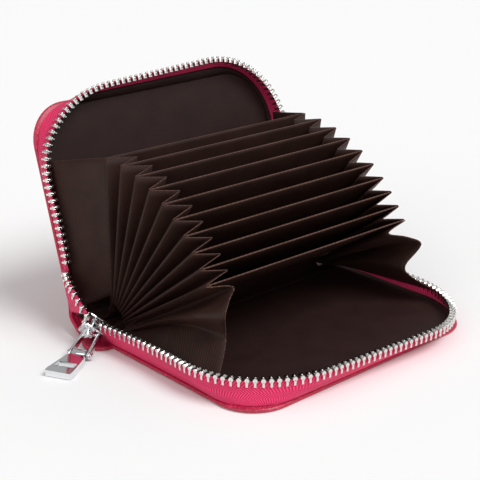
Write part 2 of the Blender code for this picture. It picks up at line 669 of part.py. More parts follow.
def make_rivet(parent, mat):
    """Rivet through the link's two eyes and the tab's eye, with a low head at each end."""
    half = 0.5 * LINK_WIDTH + RUNNING_GAP
    head = RIVET_RADIUS + 2.0 * RUNNING_GAP
    end, rim = half + RIVET_HEAD, half + 0.25 * RIVET_HEAD
    bm = bmesh.new()
    profile = [(0.0, -end), (0.6 * head, -end), (head, -rim), (head, -half), (RIVET_RADIUS, -half),
               (RIVET_RADIUS, half), (head, half), (head, rim), (0.6 * head, end), (0.0, end)]
    line = [bm.verts.new((along, radius, 0.0)) for radius, along in profile]
    edges = [bm.edges.new(pair) for pair in zip(line, line[1:])]
    bmesh.ops.spin(bm, geom=line + edges, cent=(0, 0, 0), axis=(1, 0, 0), angle=2.0 * math.pi, steps=12,
                   use_duplicate=False)
    bmesh.ops.remove_doubles(bm, verts=bm.verts, dist=0.00001)
    piece("pull_rivet", bm, parent, mat, 40.0)


def make_tab(parent, mat):
    """Flared plate with a thick end, a slot across it and an eye for the rivet."""
    profile = [
        (0.6 * TAB_EYE, -0.5 * TAB_THICK), (TAB_LENGTH - TAB_CHAMFER, -0.5 * TAB_THICK_END),
        (TAB_LENGTH, -0.5 * TAB_THICK_END + 0.3 * TAB_CHAMFER),
        (TAB_LENGTH, 0.5 * TAB_THICK_END - 0.8 * TAB_CHAMFER),
        (TAB_LENGTH - TAB_CHAMFER, 0.5 * TAB_THICK_END), (0.6 * TAB_EYE, 0.5 * TAB_THICK),
    ]
    wide = 0.5 * TAB_WIDTH_END
    tab = piece("pull_tab", prism(profile, -wide, wide, ALONG_X), parent, mat, 35.0)
    top, neck = 0.5 * TAB_WIDTH_TOP, 0.5 * TAB_EYE_LENGTH
    beyond, through = 1.1 * TAB_LENGTH, 3.0 * TAB_THICK_END
    plan = [(-neck, 0.0), (neck, 0.0), (neck, TAB_SHOULDER), (top, 1.2 * TAB_SHOULDER),
            (wide, TAB_LENGTH - TAB_FOOT), (wide, beyond), (-wide, beyond),
            (-wide, TAB_LENGTH - TAB_FOOT), (-top, 1.2 * TAB_SHOULDER), (-neck, TAB_SHOULDER)]
    boolean(tab, guide("tab plan", prism(plan, -through, through), parent), "INTERSECT")
    barrel = prism(disc(0.0, 0.0, TAB_EYE), -neck, neck, ALONG_X)
    boolean(tab, guide("tab eye", barrel, parent), "UNION")
    bore = prism(disc(0.0, 0.0, RIVET_RADIUS + RUNNING_GAP), -LINK_WIDTH, LINK_WIDTH, ALONG_X)
    boolean(tab, guide("tab bore", bore, parent), "DIFFERENCE")
    radius = 0.5 * TAB_SLOT_WIDTH
    run = 0.5 * TAB_SLOT_LENGTH - radius
    slot = arc(run, TAB_SLOT_PLACE, radius, -90.0, 90.0, 5)
    slot += arc(-run, TAB_SLOT_PLACE, radius, 90.0, 270.0, 5)
    boolean(tab, guide("tab slot", prism(slot, -through, through), parent), "DIFFERENCE")


def divider_turns():
    """How far each divider opens from the piece below it, lowest first, in degrees."""
    return [FIRST_DIVIDER_TURN] + [NEXT_DIVIDER_TURN * TURN_GROWTH ** i for i in range(DIVIDERS - 1)]


def build():
    for obj in list(bpy.data.objects):
        bpy.data.objects.remove(obj)
    leather = material("crimson leather", (0.62, 0.03, 0.10), 0.5)
    webbing = material("crimson zip tape", (0.58, 0.03, 0.09), 0.8)
    twill = material("brown polyester twill", (0.045, 0.028, 0.024), 0.6)
    card = material("grey board", (0.45, 0.42, 0.38), 0.9)
    nickel = material("nickel-plated brass teeth", (0.80, 0.79, 0.76), 0.25, 1.0)
    chrome = material("chrome-plated zinc", (0.85, 0.85, 0.86), 0.08, 1.0)

    back = frame("back cover frame", None, (0.0, CREASE_Y, CREASE_Z), 180.0)
    spine = frame("spine fold", back, (0.0, 0.0, 0.0), -90.0 - SPINE_TURN)
    front = frame("front cover fold", spine, (0.0, SPINE_SPAN, 0.0), 90.0 - COVER_TURN)
    fans = []
    parent, place = back, (0.0, FAN_SETBACK, -(FAN_HEIGHT - CREASE_Z))
    for number, turn in enumerate(divider_turns()):
        fans.append(frame(f"divider fold {DIVIDERS - number:02d}", parent, place, -turn))
        parent, place = fans[-1], (0.0, 0.0, -DIVIDER_PITCH)
    bpy.context.view_layer.update()

    rows = {"back": LOWER_ROW, "front": UPPER_ROW}
    for name, parent, inward in (("back", back, -1.0), ("front", front, 1.0)):
        make_cover(f"{name}_cover", parent, inward, leather)
        inset = TAPE_INSET + TAPE_FLANGE + SEAT
        make_layer(f"{name}_board", parent, inward, inset, CORNER - inset, FOOT_HEIGHT, BOARD, card)
        inset = TAPE_INSET + TAPE + SEAT
        make_layer(f"{name}_lining", parent, inward, inset, LINING_CORNER, LINING_HEIGHT, LINING, twill)
        row = rows[name]
        tape = make_tape(f"{name}_zip", parent, inward, row, webbing)
        if name == "front":
            notch_wall(tape, parent, inward, UPPER_ROW_START - 0.5 * TOOTH_PITCH + SEAT, SWEEP_NOTCH)
        first = LOWER_ROW_START if name == "back" else UPPER_ROW_START
        shift = 0.0 if name == "back" else 0.5 * TOOTH_PITCH
        crimp_teeth(tape, parent, inward, row, first, shift)
        make_end_stop(f"{name}_zip_stop", parent, inward, row, nickel)
    make_sweep(front, webbing)

    make_spine(spine, leather)
    panels = {"back": (back, -1.0), "spine": (spine, 1.0), "front": (front, 1.0)}
    make_ear("ear_left", panels, -1.0, leather)
    make_ear("ear_right", panels, 1.0, leather)

    for number, fan in enumerate(fans):
        make_divider(DIVIDERS - number, fan, twill)
    for word, side in (("left", -1.0), ("right", 1.0)):
        for number, (lower, upper) in enumerate(zip(fans, fans[1:])):
            make_pleat(f"pleat_{word}_{DIVIDERS - 1 - number}", lower, upper, side, twill)
        make_lower_gusset(f"back_gusset_{word}", fans[0], back, side, twill)
        make_upper_gusset(f"front_gusset_{word}", fans[-1], front, side, twill)

    slide = new_object("slider frame", None)
    slide.location = (-0.5 * LENGTH - SLIDER_OUT, CREASE_Y + SLIDER_BEHIND, LOWER_ROW - SLIDER_DROP)
    rise, roll = math.radians(SLIDER_RISE), math.radians(SLIDER_ROLL)
    mouth = Vector((0.0, -math.cos(rise), math.sin(rise)))
    below = Vector((0.0, -math.sin(rise), -math.cos(rise)))
    outward = Vector((-math.cos(roll), 0.0, 0.0)) + below * math.sin(roll)
    slide.rotation_euler = Matrix((mouth.cross(outward), mouth, outward)).transposed().to_euler()
    slider, outer = make_slider(slide, chrome)
    crown = make_crown(slider, outer, slide)

    swivel = math.radians(PULL_YAW)
    hook = slide.location + outward * crown + mouth * CROWN_FORWARD
    knuckle_height = TAB_EYE + FLOOR_GAP
    link_slope = math.asin((hook.z - knuckle_height) / LINK_LENGTH)
    level = Vector((-math.cos(swivel), -math.sin(swivel), 0.0))
    down = level * math.cos(link_slope) - Vector((0.0, 0.0, math.sin(link_slope)))
    across = Vector((-math.sin(swivel), math.cos(swivel), 0.0))
    swing = new_object("pull link pin", None)
    swing.location = hook
    swing.rotation_euler = Matrix((across, down, across.cross(down))).transposed().to_euler()
    make_link(swing, chrome)
    make_rivet(frame("rivet", swing, (0.0, LINK_LENGTH, 0.0), 0.0), chrome)
    tab_slope = math.asin((knuckle_height - 0.5 * TAB_THICK_END - FLOOR_GAP) / TAB_LENGTH)
    lift = math.degrees(link_slope - tab_slope)
    make_tab(frame("pull tab pin", swing, (0.0, LINK_LENGTH, 0.0), lift), chrome)
    bpy.context.view_layer.update()
    for empty in (back, spine, front, *fans, swing):
        spot = empty.matrix_world.translation
        print(f"{empty.name}: {spot.x:.5f} {spot.y:.5f} {spot.z:.5f}")
    print("pull axis:", [round(v, 5) for v in across], "slope", round(math.degrees(link_slope), 2))
    print("knuckle:", [round(v, 5) for v in swing.matrix_world @ Vector((0.0, LINK_LENGTH, 0.0))])


build()
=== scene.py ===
# %% [markdown]
# # A zip-round accordion card holder
#
# The holder lies open on a pale floor. Two covers of pebbled crimson leather are joined by a narrow
# spine. A woven zip tape stands on three sides of each cover and carries the metal teeth. Inside,
# brown cloth lines the covers, and ten pocket dividers open like a fan.
#
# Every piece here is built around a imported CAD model. The model says where each part is and how it
# moves, and this lesson gives each part its finished shape and its material.

# %% Load the frame
import math

import bmesh
import bpy
from mathutils import Matrix, Vector


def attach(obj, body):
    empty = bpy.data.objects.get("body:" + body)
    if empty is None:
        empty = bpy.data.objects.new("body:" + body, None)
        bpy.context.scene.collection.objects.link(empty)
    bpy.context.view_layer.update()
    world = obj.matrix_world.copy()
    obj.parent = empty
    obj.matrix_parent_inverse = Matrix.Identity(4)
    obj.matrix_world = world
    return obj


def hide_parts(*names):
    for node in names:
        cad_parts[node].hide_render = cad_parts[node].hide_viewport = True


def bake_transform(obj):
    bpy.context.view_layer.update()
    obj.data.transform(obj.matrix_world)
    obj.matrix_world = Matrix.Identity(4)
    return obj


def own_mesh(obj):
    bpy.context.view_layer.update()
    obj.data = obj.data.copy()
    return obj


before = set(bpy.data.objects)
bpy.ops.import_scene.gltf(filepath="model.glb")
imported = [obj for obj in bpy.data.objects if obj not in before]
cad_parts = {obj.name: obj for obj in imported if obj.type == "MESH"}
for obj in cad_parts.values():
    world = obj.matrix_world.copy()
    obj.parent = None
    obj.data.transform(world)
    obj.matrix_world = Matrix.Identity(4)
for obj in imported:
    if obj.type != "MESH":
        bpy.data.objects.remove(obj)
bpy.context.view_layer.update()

MM = 0.001

# %% [markdown]
# ## Camera
#
# A product picture like this one is taken with a long lens from a little above, so the covers hardly
# converge. The camera could be set by dragging it in the viewport. Numbers are used instead (azimuth,
# height angle, distance), so that the view can be repeated.

# %% Camera
AZIMUTH, ELEVATION, ROLL = -41.652, 19.891, -0.417
DISTANCE = 0.440391
AIM_RIGHT, AIM_UP = 0.008056, 0.023988      # from the spine's middle to what the lens points at
SPINE_MIDDLE = Vector((0, 0.0398, 0))
FOCAL_PIXELS, IMAGE_WIDTH, SENSOR = 1139.77, 480, 36


def camera_axes(azimuth, elevation):
    """Right, up and backward directions of a level camera."""
    a, e = math.radians(azimuth), math.radians(elevation)
    back = Vector((math.sin(a) * math.cos(e), -math.cos(a) * math.cos(e), math.sin(e)))
    right = Vector((0, 0, 1)).cross(back).normalized()
    return right, back.cross(right), back


def add_object(name, data):
    """Put a camera, a lamp or a mesh in the scene."""
    obj = bpy.data.objects.new(name, data)
    bpy.context.scene.collection.objects.link(obj)
    return obj


right, up, back = camera_axes(AZIMUTH, ELEVATION)
place = SPINE_MIDDLE + back * DISTANCE + right * AIM_RIGHT + up * AIM_UP
axes = Matrix((right, up, back)).transposed() @ Matrix.Rotation(math.radians(ROLL), 3, "Z")
camera_data = bpy.data.cameras.new("camera")
camera_data.sensor_width = SENSOR
camera_data.lens = FOCAL_PIXELS * SENSOR / IMAGE_WIDTH
camera_data.clip_start = 10 * MM
camera = add_object("camera", camera_data)
camera.matrix_world = Matrix.Translation(place) @ axes.to_4x4()
bpy.context.scene.camera = camera
print("lens, mm:", round(camera_data.lens, 1))

# %% [markdown]
# ## Colour and node helpers
#
# Colours are written in sRGB, as a screen shows them. Blender mixes light in linear numbers, so one
# function converts them. A second one adds a shader node with its settings, values and links.

# %% Colour and node helpers


def colour(code):
    """A colour such as #C01830 in linear numbers."""
    parts = [int(code[i:i + 2], 16) / 255 for i in (1, 3, 5)]
    return (*[c / 12.92 if c <= 0.04045 else ((c + 0.055) / 1.055) ** 2.4 for c in parts], 1)


def add_node(tree, kind, sockets=(), stops=(), out=0, **settings):
    """Add a shader node with values, links and ramp stops, and give one of its outputs."""
    node = tree.nodes.new("ShaderNode" + kind)
    for name, value in settings.items():
        setattr(node, name, value)
    for number, (position, code) in enumerate(stops):
        stop = node.color_ramp.elements[number]
        stop.position, stop.color = position, colour(code)
    for name, value in dict(sockets).items():
        if isinstance(value, bpy.types.NodeSocket):
            tree.links.new(value, node.inputs[name])
        else:
            node.inputs[name].default_value = value
    return node.outputs[out]


def new_material(name):
    """An empty material and its nodes."""
    mat = bpy.data.materials.new(name)
    mat.use_nodes = True
    mat.node_tree.nodes.clear()
    return mat, mat.node_tree


def finish_material(mat, tone, roughness, relief=None, **sockets):
    """End a material with one Principled shader. A relief is a height, its strength and its depth."""
    tree, values = mat.node_tree, {name.replace("_", " "): value for name, value in sockets.items()}
    if relief:
        height, strength, depth = relief
        values["Normal"] = add_node(tree, "Bump", {"Height": height, "Strength": strength, "Distance": depth})
    shader = add_node(tree, "BsdfPrincipled", {"Base Color": tone, "Roughness": roughness, **values})
    tree.links.new(shader, tree.nodes.new("ShaderNodeOutputMaterial").inputs["Surface"])
    print("material:", mat.name)
    return mat


# %% [markdown]
# ## Floor and light
#
# The holder stands on white studio paper under soft lamps. Lamps close by would light the paper
# unevenly, so two far lamps with a wide face are used, and a plain world fills the shadows.

# %% Floor and light
FLOOR_HALF, WORLD_STRENGTH = 6, 0.42
floor_mesh = bpy.data.meshes.new("floor")
corners = [(x * FLOOR_HALF, y * FLOOR_HALF, 0) for x, y in ((-1, -1), (1, -1), (1, 1), (-1, 1))]
floor_mesh.from_pydata(corners, [], [(0, 1, 2, 3)])
floor = add_object("floor", floor_mesh)
paper, _ = new_material("matt white studio paper")      # matt, so it shows shadows and no highlight
floor_mesh.materials.append(finish_material(paper, colour("#FBFBFB"), 0.9))


def soft_light(name, azimuth, elevation, spread, strength):
    """A far lamp with a wide face, so that its light is even over the whole floor."""
    lamp = bpy.data.lights.new(name, "SUN")
    lamp.angle = math.radians(spread)
    lamp.energy = strength
    _, _, away = camera_axes(azimuth, elevation)
    add_object(name, lamp).rotation_euler = away.to_track_quat("Z", "Y").to_euler()


soft_light("key light", 18, 52, 34, 2)
soft_light("side light", -72, 24, 50, 0.74)
world = bpy.data.worlds.new("studio")
bpy.context.scene.world = world
world.use_nodes = True
world.node_tree.nodes["Background"].inputs["Color"].default_value = colour("#FFFFFF")
world.node_tree.nodes["Background"].inputs["Strength"].default_value = WORLD_STRENGTH
bpy.context.scene.view_settings.view_transform = "Standard"

# %% [markdown]
# ## Where things are
#
# Each cover, the spine and each divider has an origin on its fold line, X along the fold and Y out to
# its free edge. A matrix takes a point from there to the room. The sizes are those of the CAD model.
# The free edge of the zip isn't even on the real holder, so its pulls, skew and tilt are given too.

# %% Sizes of the holder, in metres
LENGTH, DEPTH, CORNER, LEATHER = 0.111, 0.0782, 0.015, 0.0016
HALF = 0.5 * LENGTH
SEAT = 0.0003                           # from a piece to what it sits on
CREASE_Y, CREASE_Z = 0.5 * DEPTH, 0.5 * LEATHER
FOOT = LEATHER + SEAT
TAPE, TAPE_INSET, TAPE_FLANGE = 0.0005, 0.0014, 0.0036
SWELL_SIDE, SWELL_FRONT, TAPE_START = 0.0035, 0.0052, 0.004
TOP_CORNERS = (0.035, 0.0355)           # radii of the free edge, left and right
TOP_SKEW, LEFT_PULL, LEFT_PULL_END = 0.04, 0.002, 0.85
RIGHT_PULL = {"back": 0.002, "front": 0.0008}
FRONT_PULL = {"back": 0, "front": 0.0008}
ROWS = {"back": 0.0108, "front": 0.0099}        # height of the free edge
ROW_TILT = {"back": (-0.0008, -0.002), "front": (0.0008, 0.002)}      # in the middle, at the right
PITCH, TOOTH_HEIGHT = 0.0025, 0.0031
SPINE_SPAN = sum(ROWS.values()) + SEAT - LEATHER
LINING_TOP, LINING = 0.0034, 0.0003
DIVIDERS, DIVIDER_LENGTH, DIVIDER_REACH, DIVIDER = 10, 0.0949, 0.0545, 0.00045
END = 0.5 * DIVIDER_LENGTH
FAN_START, FAN_HEIGHT, FAN_PITCH = 0.0028, 0.0066, 0.00105
PLEAT_DEPTH, PLEAT_FOOT = 0.0095, 0.0115
TURNS = [31.4] + [4.8 * 1.07 ** i for i in range(DIVIDERS - 1)]
SPINE_TURN, FRONT_TURN = 81.5, 24.7


def folded(parent, place, degrees):
    """The axes of a part that is folded from its parent by a turn about X."""
    return parent @ Matrix.Translation(place) @ Matrix.Rotation(math.radians(degrees), 4, "X")


BACK = folded(Matrix.Identity(4), (0, CREASE_Y, CREASE_Z), 180)
SPINE = folded(BACK, (0, 0, 0), -90 - SPINE_TURN)
FRONT = folded(SPINE, (0, SPINE_SPAN, 0), 90 - FRONT_TURN)
COVERS = {"back": (BACK, -1), "front": (FRONT, 1)}      # axes, and which way is inside
FANS = [folded(BACK, (0, FAN_START, CREASE_Z - FAN_HEIGHT), -TURNS[0])]
for turn in TURNS[1:]:
    FANS.append(folded(FANS[-1], (0, 0, -FAN_PITCH), -turn))
DIVIDER_BODY = [f"divider_{DIVIDERS - i:02d}" for i in range(DIVIDERS)]
print("front fold, mm:", [round(v / MM, 2) for v in FRONT.translation])

# %% [markdown]
# ## Cloth
#
# The lining is a thin polyester twill. Each thread passes over two and under one, one step further in
# every row, so fine slanting ribs run across the cloth. An image could show them, but a wave pattern
# holds at any distance. It lies on a map in millimetres, so the ribs keep their real size and follow
# the cloth round its folds. The zip tape is woven in a herringbone, which changes its slant.

# %% Cloth materials
WAVE = 0.31416      # the wave node repeats every 0.314 divided by its scale
PATCH = 1 / 0.12    # the cloth is mottled in patches of 8.3 mm


def ribs(tree, place, spacing, angle):
    """Parallel ribs across a map in millimetres."""
    turned = add_node(tree, "Mapping", {"Vector": place, "Rotation": (0, 0, math.radians(angle))})
    return add_node(tree, "TexWave", {"Vector": turned, "Scale": WAVE / spacing}, out="Fac")


def twill(name, dark, light, spacing=0.72, angle=52):
    """Dark yarn with a soft shine. Real ribs are 0.4 mm apart, and are drawn coarser so that they show."""
    mat, tree = new_material(name)
    place = add_node(tree, "UVMap", uv_map="mm")
    rib, yarn = ribs(tree, place, spacing, angle), ribs(tree, place, 0.62 * spacing, angle + 74)
    weave = add_node(tree, "Mix", {"Factor": 0.35, 2: rib, 3: yarn})
    patch = add_node(tree, "TexNoise", {"Vector": place, "Scale": 1 / PATCH, "Detail": 3})
    lift = add_node(tree, "MapRange", {
        "Value": patch, "From Min": 0.3, "From Max": 0.7, "To Min": 0.75, "To Max": 1.1})
    share = add_node(tree, "Math", {0: weave, 1: lift}, operation="MULTIPLY")
    tone = add_node(tree, "ValToRGB", {"Fac": share}, ((0.12, dark), (0.9, light)))
    return finish_material(
        mat, tone, 0.5, (weave, 0.8, 0.0001), IOR=1.5, Specular_IOR_Level=0.16,
        Sheen_Weight=0.1, Sheen_Roughness=0.35, Sheen_Tint=colour("#8A5C50"))


def woven_tape():
    """Herringbone: two slants of rib 0.72 mm apart, in bands 2.6 mm wide. Both are drawn coarser too."""
    mat, tree = new_material("crimson zip tape, woven polyester")
    place = add_node(tree, "UVMap", uv_map="mm")
    along = add_node(tree, "SeparateXYZ", {0: place}, out="Y")
    band = add_node(tree, "Math", {0: along, 1: 2.6}, operation="PINGPONG")
    which = add_node(tree, "Math", {0: band, 1: 1.3}, operation="GREATER_THAN")
    slants = [ribs(tree, place, 0.72, angle) for angle in (34, -34)]
    height = add_node(tree, "Mix", {"Factor": which, 2: slants[0], 3: slants[1]})
    tone = add_node(tree, "ValToRGB", {"Fac": height}, ((0, "#B8103F"), (1, "#F6447A")))
    return finish_material(
        mat, tone, 0.55, (height, 0.8, 0.00014), IOR=1.5, Specular_IOR_Level=0.3,
        Sheen_Weight=0.12, Sheen_Roughness=0.4, Sheen_Tint=colour("#FF7A9C"))


TWILL = twill("brown polyester twill", "#100807", "#483029")
TWILL_FINE = twill("brown polyester twill, lining weight", "#1A0E0D", "#3E2A27", 0.55, 48)
TWILL_EDGE = twill("brown twill, turned edge", "#2C1B18", "#7C5A4E", 0.9, 0)
TAPE_CLOTH = woven_tape()

# %% [markdown]
# ## Leather, metal, thread and board
#
# The covers are split leather, pressed under a hot plate to a pebbled grain and sealed with a clear
# coat. A cell pattern gives this grain as it is, without an image: its distance to the nearest border
# is low in the valleys and high on the pebbles. The metal is brass or zinc under a bright plating.

# %% Leather, metal, thread and board
PEBBLE, TWIST = 0.0011, 0.0004      # width of a pebble, and length of one turn of the thread
WARP, MARKS, POLISH, FIBRES = 1 / 420, 1 / 900, 1 / 160, 1 / 2600       # 2.4, 1.1, 6.3 and 0.4 mm


def pebbled_leather():
    """The pebbles shine a little under the coat. The valleys between them are coloured darker: painted shade.
    """
    mat, tree = new_material("crimson leather, pressed pebble grain")
    place = add_node(tree, "TexCoord", out="Object")
    warp = add_node(tree, "TexNoise", {"Vector": place, "Scale": 1 / WARP, "Detail": 2}, out="Color")
    bent = add_node(tree, "Mix", {"Factor": 0.0012, 4: place, 5: warp}, out=1, data_type="VECTOR")
    cells = add_node(tree, "TexVoronoi", {"Vector": bent, "Scale": 1 / PEBBLE}, feature="DISTANCE_TO_EDGE")
    pebble_height_and_painted_shade = add_node(tree, "ValToRGB", {"Fac": cells}, ((0, "#000000"), (0.34, "#FFFFFF")))
    pebble_height_and_painted_shade.node.color_ramp.interpolation = "EASE"
    # Darker colour in the valleys than on the pebbles: painted shade, taken from the same height as the bump.
    tone = add_node(tree, "ValToRGB", {"Fac": pebble_height_and_painted_shade}, ((0, "#A00E34"), (1, "#D02450")))
    return finish_material(
        mat, tone, 0.42, (pebble_height_and_painted_shade, 0.55, 0.00012), IOR=1.5, Coat_Weight=0.25, Coat_Roughness=0.25)


def plated(name, code, roughness, wear):
    """Plated metal: a mirror with a faint polish wave and fine handling marks."""
    mat, tree = new_material(name)
    place = add_node(tree, "TexCoord", out="Object")
    marks = add_node(tree, "TexNoise", {"Vector": place, "Scale": 1 / MARKS, "Detail": 4})
    rough = add_node(tree, "MapRange", {"Value": marks, "To Min": roughness, "To Max": roughness + wear})
    wave = add_node(tree, "TexNoise", {"Vector": place, "Scale": 1 / POLISH})
    return finish_material(mat, colour(code), rough, (wave, 0.15, 0.0002), Metallic=1)


def sewing_thread(name, dark, light):
    """Spun polyester thread: two plies twisted together, a third of a millimetre thick."""
    mat, tree = new_material(name)
    place = add_node(tree, "TexCoord", out="Object")
    twist = add_node(
        tree, "TexWave", {"Vector": place, "Scale": WAVE / TWIST}, out="Fac", bands_direction="DIAGONAL")
    tone = add_node(tree, "ValToRGB", {"Fac": twist}, ((0, dark), (1, light)))
    return finish_material(mat, tone, 0.5, (twist, 0.5, 0.00006), IOR=1.5)


def grey_board():
    """Grey board: pressed paper pulp, matt and a little mottled."""
    mat, tree = new_material("grey board, pressed pulp")
    place = add_node(tree, "TexCoord", out="Object")
    fibre = add_node(tree, "TexNoise", {"Vector": place, "Scale": 1 / FIBRES, "Detail": 5})
    tone = add_node(tree, "ValToRGB", {"Fac": fibre}, ((0, "#8C867C"), (1, "#BDB6A8")))
    return finish_material(mat, tone, 0.9, IOR=1.5)


LEATHER_SKIN = pebbled_leather()
NICKEL = plated("nickel-plated brass, stamped teeth", "#E2E0DC", 0.1, 0.12)
CHROME = plated("chrome-plated zinc, cast and polished", "#E6E7E9", 0.05, 0.07)
BOARD = grey_board()
THREAD = sewing_thread("crimson sewing thread", "#A81240", "#E8456E")
THREAD_BROWN = sewing_thread("brown sewing thread", "#3A2722", "#8E6C60")

# %% [markdown]
# ## Mesh helpers
#
# Most pieces here are sheets: cloth, tape or leather of an even thickness. A sheet is laid out as rows
# of points joined by faces, and the Solidify modifier gives it its thickness, which is easier to
# change than two skins drawn by hand. Its map in millimetres is the cloth as it was cut.

# %% Pieces and sheets


def between(a, b, share):
    return a + (b - a) * share


def spread(start, end, steps):
    """Evenly spaced values or points, both ends included."""
    return [between(start, end, i / steps) for i in range(steps + 1)]


def new_piece(name, bm, mats, axes=None, smooth=40):
    """Turn a bmesh into a piece in the room."""
    bmesh.ops.recalc_face_normals(bm, faces=bm.faces)
    if axes is not None:
        bm.transform(axes)
    mesh = bpy.data.meshes.new(name)
    bm.to_mesh(mesh)
    bm.free()
    for mat in mats if isinstance(mats, list) else [mats]:
        mesh.materials.append(mat)
    mesh.shade_smooth()
    mesh.set_sharp_from_angle(angle=math.radians(smooth))
    return add_object(name, mesh)


def stands_for(obj, slot, *nodes):
    """Hide the CAD nodes whose place a piece takes. The piece and its finish slot are not used."""
    if nodes:
        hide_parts(*nodes)


def carried(obj, body, slot, *nodes):
    """The same for a piece that one body carries."""
    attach(obj, body)
    stands_for(obj, slot, *nodes)


def grid_faces(bm, grid):
    """Join rows of points by faces, with a map in millimetres."""
    layer = bm.loops.layers.uv.new("mm")
    verts = [[bm.verts.new(point) for point in row] for row in grid]
    count = len(grid[0])
    middle = [Vector(point) for point in grid[len(grid) // 2]]
    along, across = [0], [0]
    for a, b in zip(middle, middle[1:]):
        along.append(along[-1] + (b - a).length / MM)
    for low, high in zip(grid, grid[1:]):
        steps = [(Vector(b) - Vector(a)).length for a, b in zip(low, high)]
        across.append(across[-1] + sum(steps) / count / MM)
    for r in range(len(grid) - 1):
        for c in range(count - 1):
            spots = ((r, c), (r, c + 1), (r + 1, c + 1), (r + 1, c))
            face = bm.faces.new([verts[i][j] for i, j in spots])
            for loop, (i, j) in zip(face.loops, spots):
                loop[layer].uv = (along[j], across[i])
    return verts


def thicken(obj, thick):
    """Give a sheet its thickness. A second material goes on its cut edges."""
    solid = obj.modifiers.new("thickness", "SOLIDIFY")
    solid.thickness, solid.offset = thick, 0
    solid.material_offset_rim = len(obj.data.materials) - 1


def sheet_piece(name, grid, thick, mats, axes=None, smooth=80):
    """A sheet through rows of points."""
    bm = bmesh.new()
    grid_faces(bm, grid)
    obj = new_piece(name, bm, mats, axes, smooth)
    thicken(obj, thick)
    return obj


# %% [markdown]
# The covers, linings, tapes and rows of teeth all run round the same three sides. One line is made
# for them, and everything else is given as a distance in from it and a height above the leather.

# %% Lines round three sides


def arc(x, y, radius, first, last, steps):
    """Points on an arc about (x, y), from one angle in degrees to another."""
    angles = [math.radians(angle) for angle in spread(first, last, steps)]
    return [(x + radius * math.cos(a), y + radius * math.sin(a)) for a in angles]


def straight(start, end, steps):
    """Points on a straight line, without its end."""
    return list(zip(*[spread(a, b, steps) for a, b in zip(start, end)]))[:-1]


def three_sides(half, front, radii, start, side_steps=10, corner_steps=20, front_steps=12):
    """From the spine end of the left side, round the front, to the spine end of the right side."""
    left, right = radii
    line = straight((-half, start), (-half, front - left), side_steps)
    line += arc(-half + left, front - left, left, 180, 90, corner_steps)[:-1]
    line += straight((-half + left, front), (half - right, front), front_steps)
    line += arc(half - right, front - right, right, 90, 0, corner_steps)[:-1]
    line += straight((half, front - right), (half, start), side_steps)
    return line + [(half, start)]


def draped(name, x, y, lean):
    """Where a point of the wall is, with the cloth pulled in at the sides and skewed to the right corner."""
    share, across = y / DEPTH, x / HALF
    if x < 0:
        pull = LEFT_PULL * math.sin(math.pi * min(share / LEFT_PULL_END, 1))
    else:
        pull = RIGHT_PULL[name] * min(2 * share, 1)
    return x - lean * pull * across, y + lean * (TOP_SKEW * x - FRONT_PULL[name]) * share ** 2


def tape_line(name, lean, offset, **steps):
    """The tape's line for a lean from 0 at its foot to 1 at its free edge, moved in by an offset."""
    half = HALF - TAPE_INSET + lean * (TAPE_INSET + SWELL_SIDE) - offset
    front = DEPTH - TAPE_INSET + lean * (TAPE_INSET + SWELL_FRONT) - offset
    radii = [between(CORNER - TAPE_INSET, top, lean) - offset for top in TOP_CORNERS]
    return [draped(name, x, y, lean) for x, y in three_sides(half, front, radii, TAPE_START, **steps)]


def wall_point(name, x, y, height):
    """A point of a cover's wall. The wall is a little higher at one front corner than at the other."""
    share = max(0, (height - LINING_TOP) / (ROWS[name] - LINING_TOP))
    tilt = share * between(*ROW_TILT[name], x / HALF) * (max(y, 0) / DEPTH) ** 1.5
    return Vector((x, y, COVERS[name][1] * (height + tilt - CREASE_Z)))


def wall_line(name, lean, offset, height, **steps):
    """One line of points round a cover's wall."""
    return [wall_point(name, x, y, height) for x, y in tape_line(name, lean, offset, **steps)]


print("free edge of the tape has", len(tape_line("back", 1, 0)), "points")

# %% [markdown]
# ## Covers
#
# A cover is a board wrapped in leather, which is turned round the board's edge. A box with a bevel
# would give the same rim. Here the rings of the outline are joined one by one, because that also gives
# the pressed groove of the seam outside, and the raised lip that hides the sewn edge of the tape.

# %% Covers
SEAM_INSET = 0.0032
COVER_START = 0.5 * LEATHER + 0.0009        # the fold takes the leather up to here
SMALLEST_CORNER = 0.0015
COVER_SECTION = [       # inset from the rim and height, from the outside round to the inside
    (0.0145, 0), (0.0042, 0), (0.0037, 0.00014), (SEAM_INSET, 0.0002), (0.0027, 0.00014), (0.0022, 0),
    (0.0012, 0.00004), (0.0004, 0.0002), (0.00008, 0.0005), (0, 0.0008), (0.00008, 0.00112),
    (0.0004, 0.00142), (0.0007, 0.00156), (0.001, 0.0016), (0.0013, 0.0018), (0.0018, 0.00188),
    (0.004, 0.00188), (0.005, 0.0013)]


def cover_ring(inset, height, start, inward):
    """A line of points round three sides of a cover."""
    radii = [max(CORNER - inset, SMALLEST_CORNER)] * 2
    return [Vector((x, y, inward * (height - CREASE_Z)))
        for x, y in three_sides(HALF - inset, DEPTH - inset, radii, start)]


for name, (axes, inward) in COVERS.items():
    bm = bmesh.new()
    rings = grid_faces(bm, [cover_ring(*spot, COVER_START, inward) for spot in COVER_SECTION])
    bm.faces.new(rings[0])
    bm.faces.new(rings[-1])
    bm.faces.new([ring[0] for ring in rings] + [ring[-1] for ring in reversed(rings)])
    cover = new_piece(f"{name}_leather", bm, LEATHER_SKIN, axes, 50)
    carried(cover, name, "leather", f"{name}_cover")
    print(cover.name, "has", len(rings), "rings")

# %% [markdown]
# The tape is sewn in with a lock stitch 3.2 mm from the rim. On the outside it shows as a row of short
# stitches in the groove. They could be a pattern in the leather, but then they would have no height,
# so each stitch is a stretched ball, and the balls are laid along the line one after another.

# %% Stitches
SEAM_START, SEAM_DEPTH = 0.0042, 0.00013
STITCH = (0.00034, 0.7 * 0.00034, 0.0023)      # across, high and long


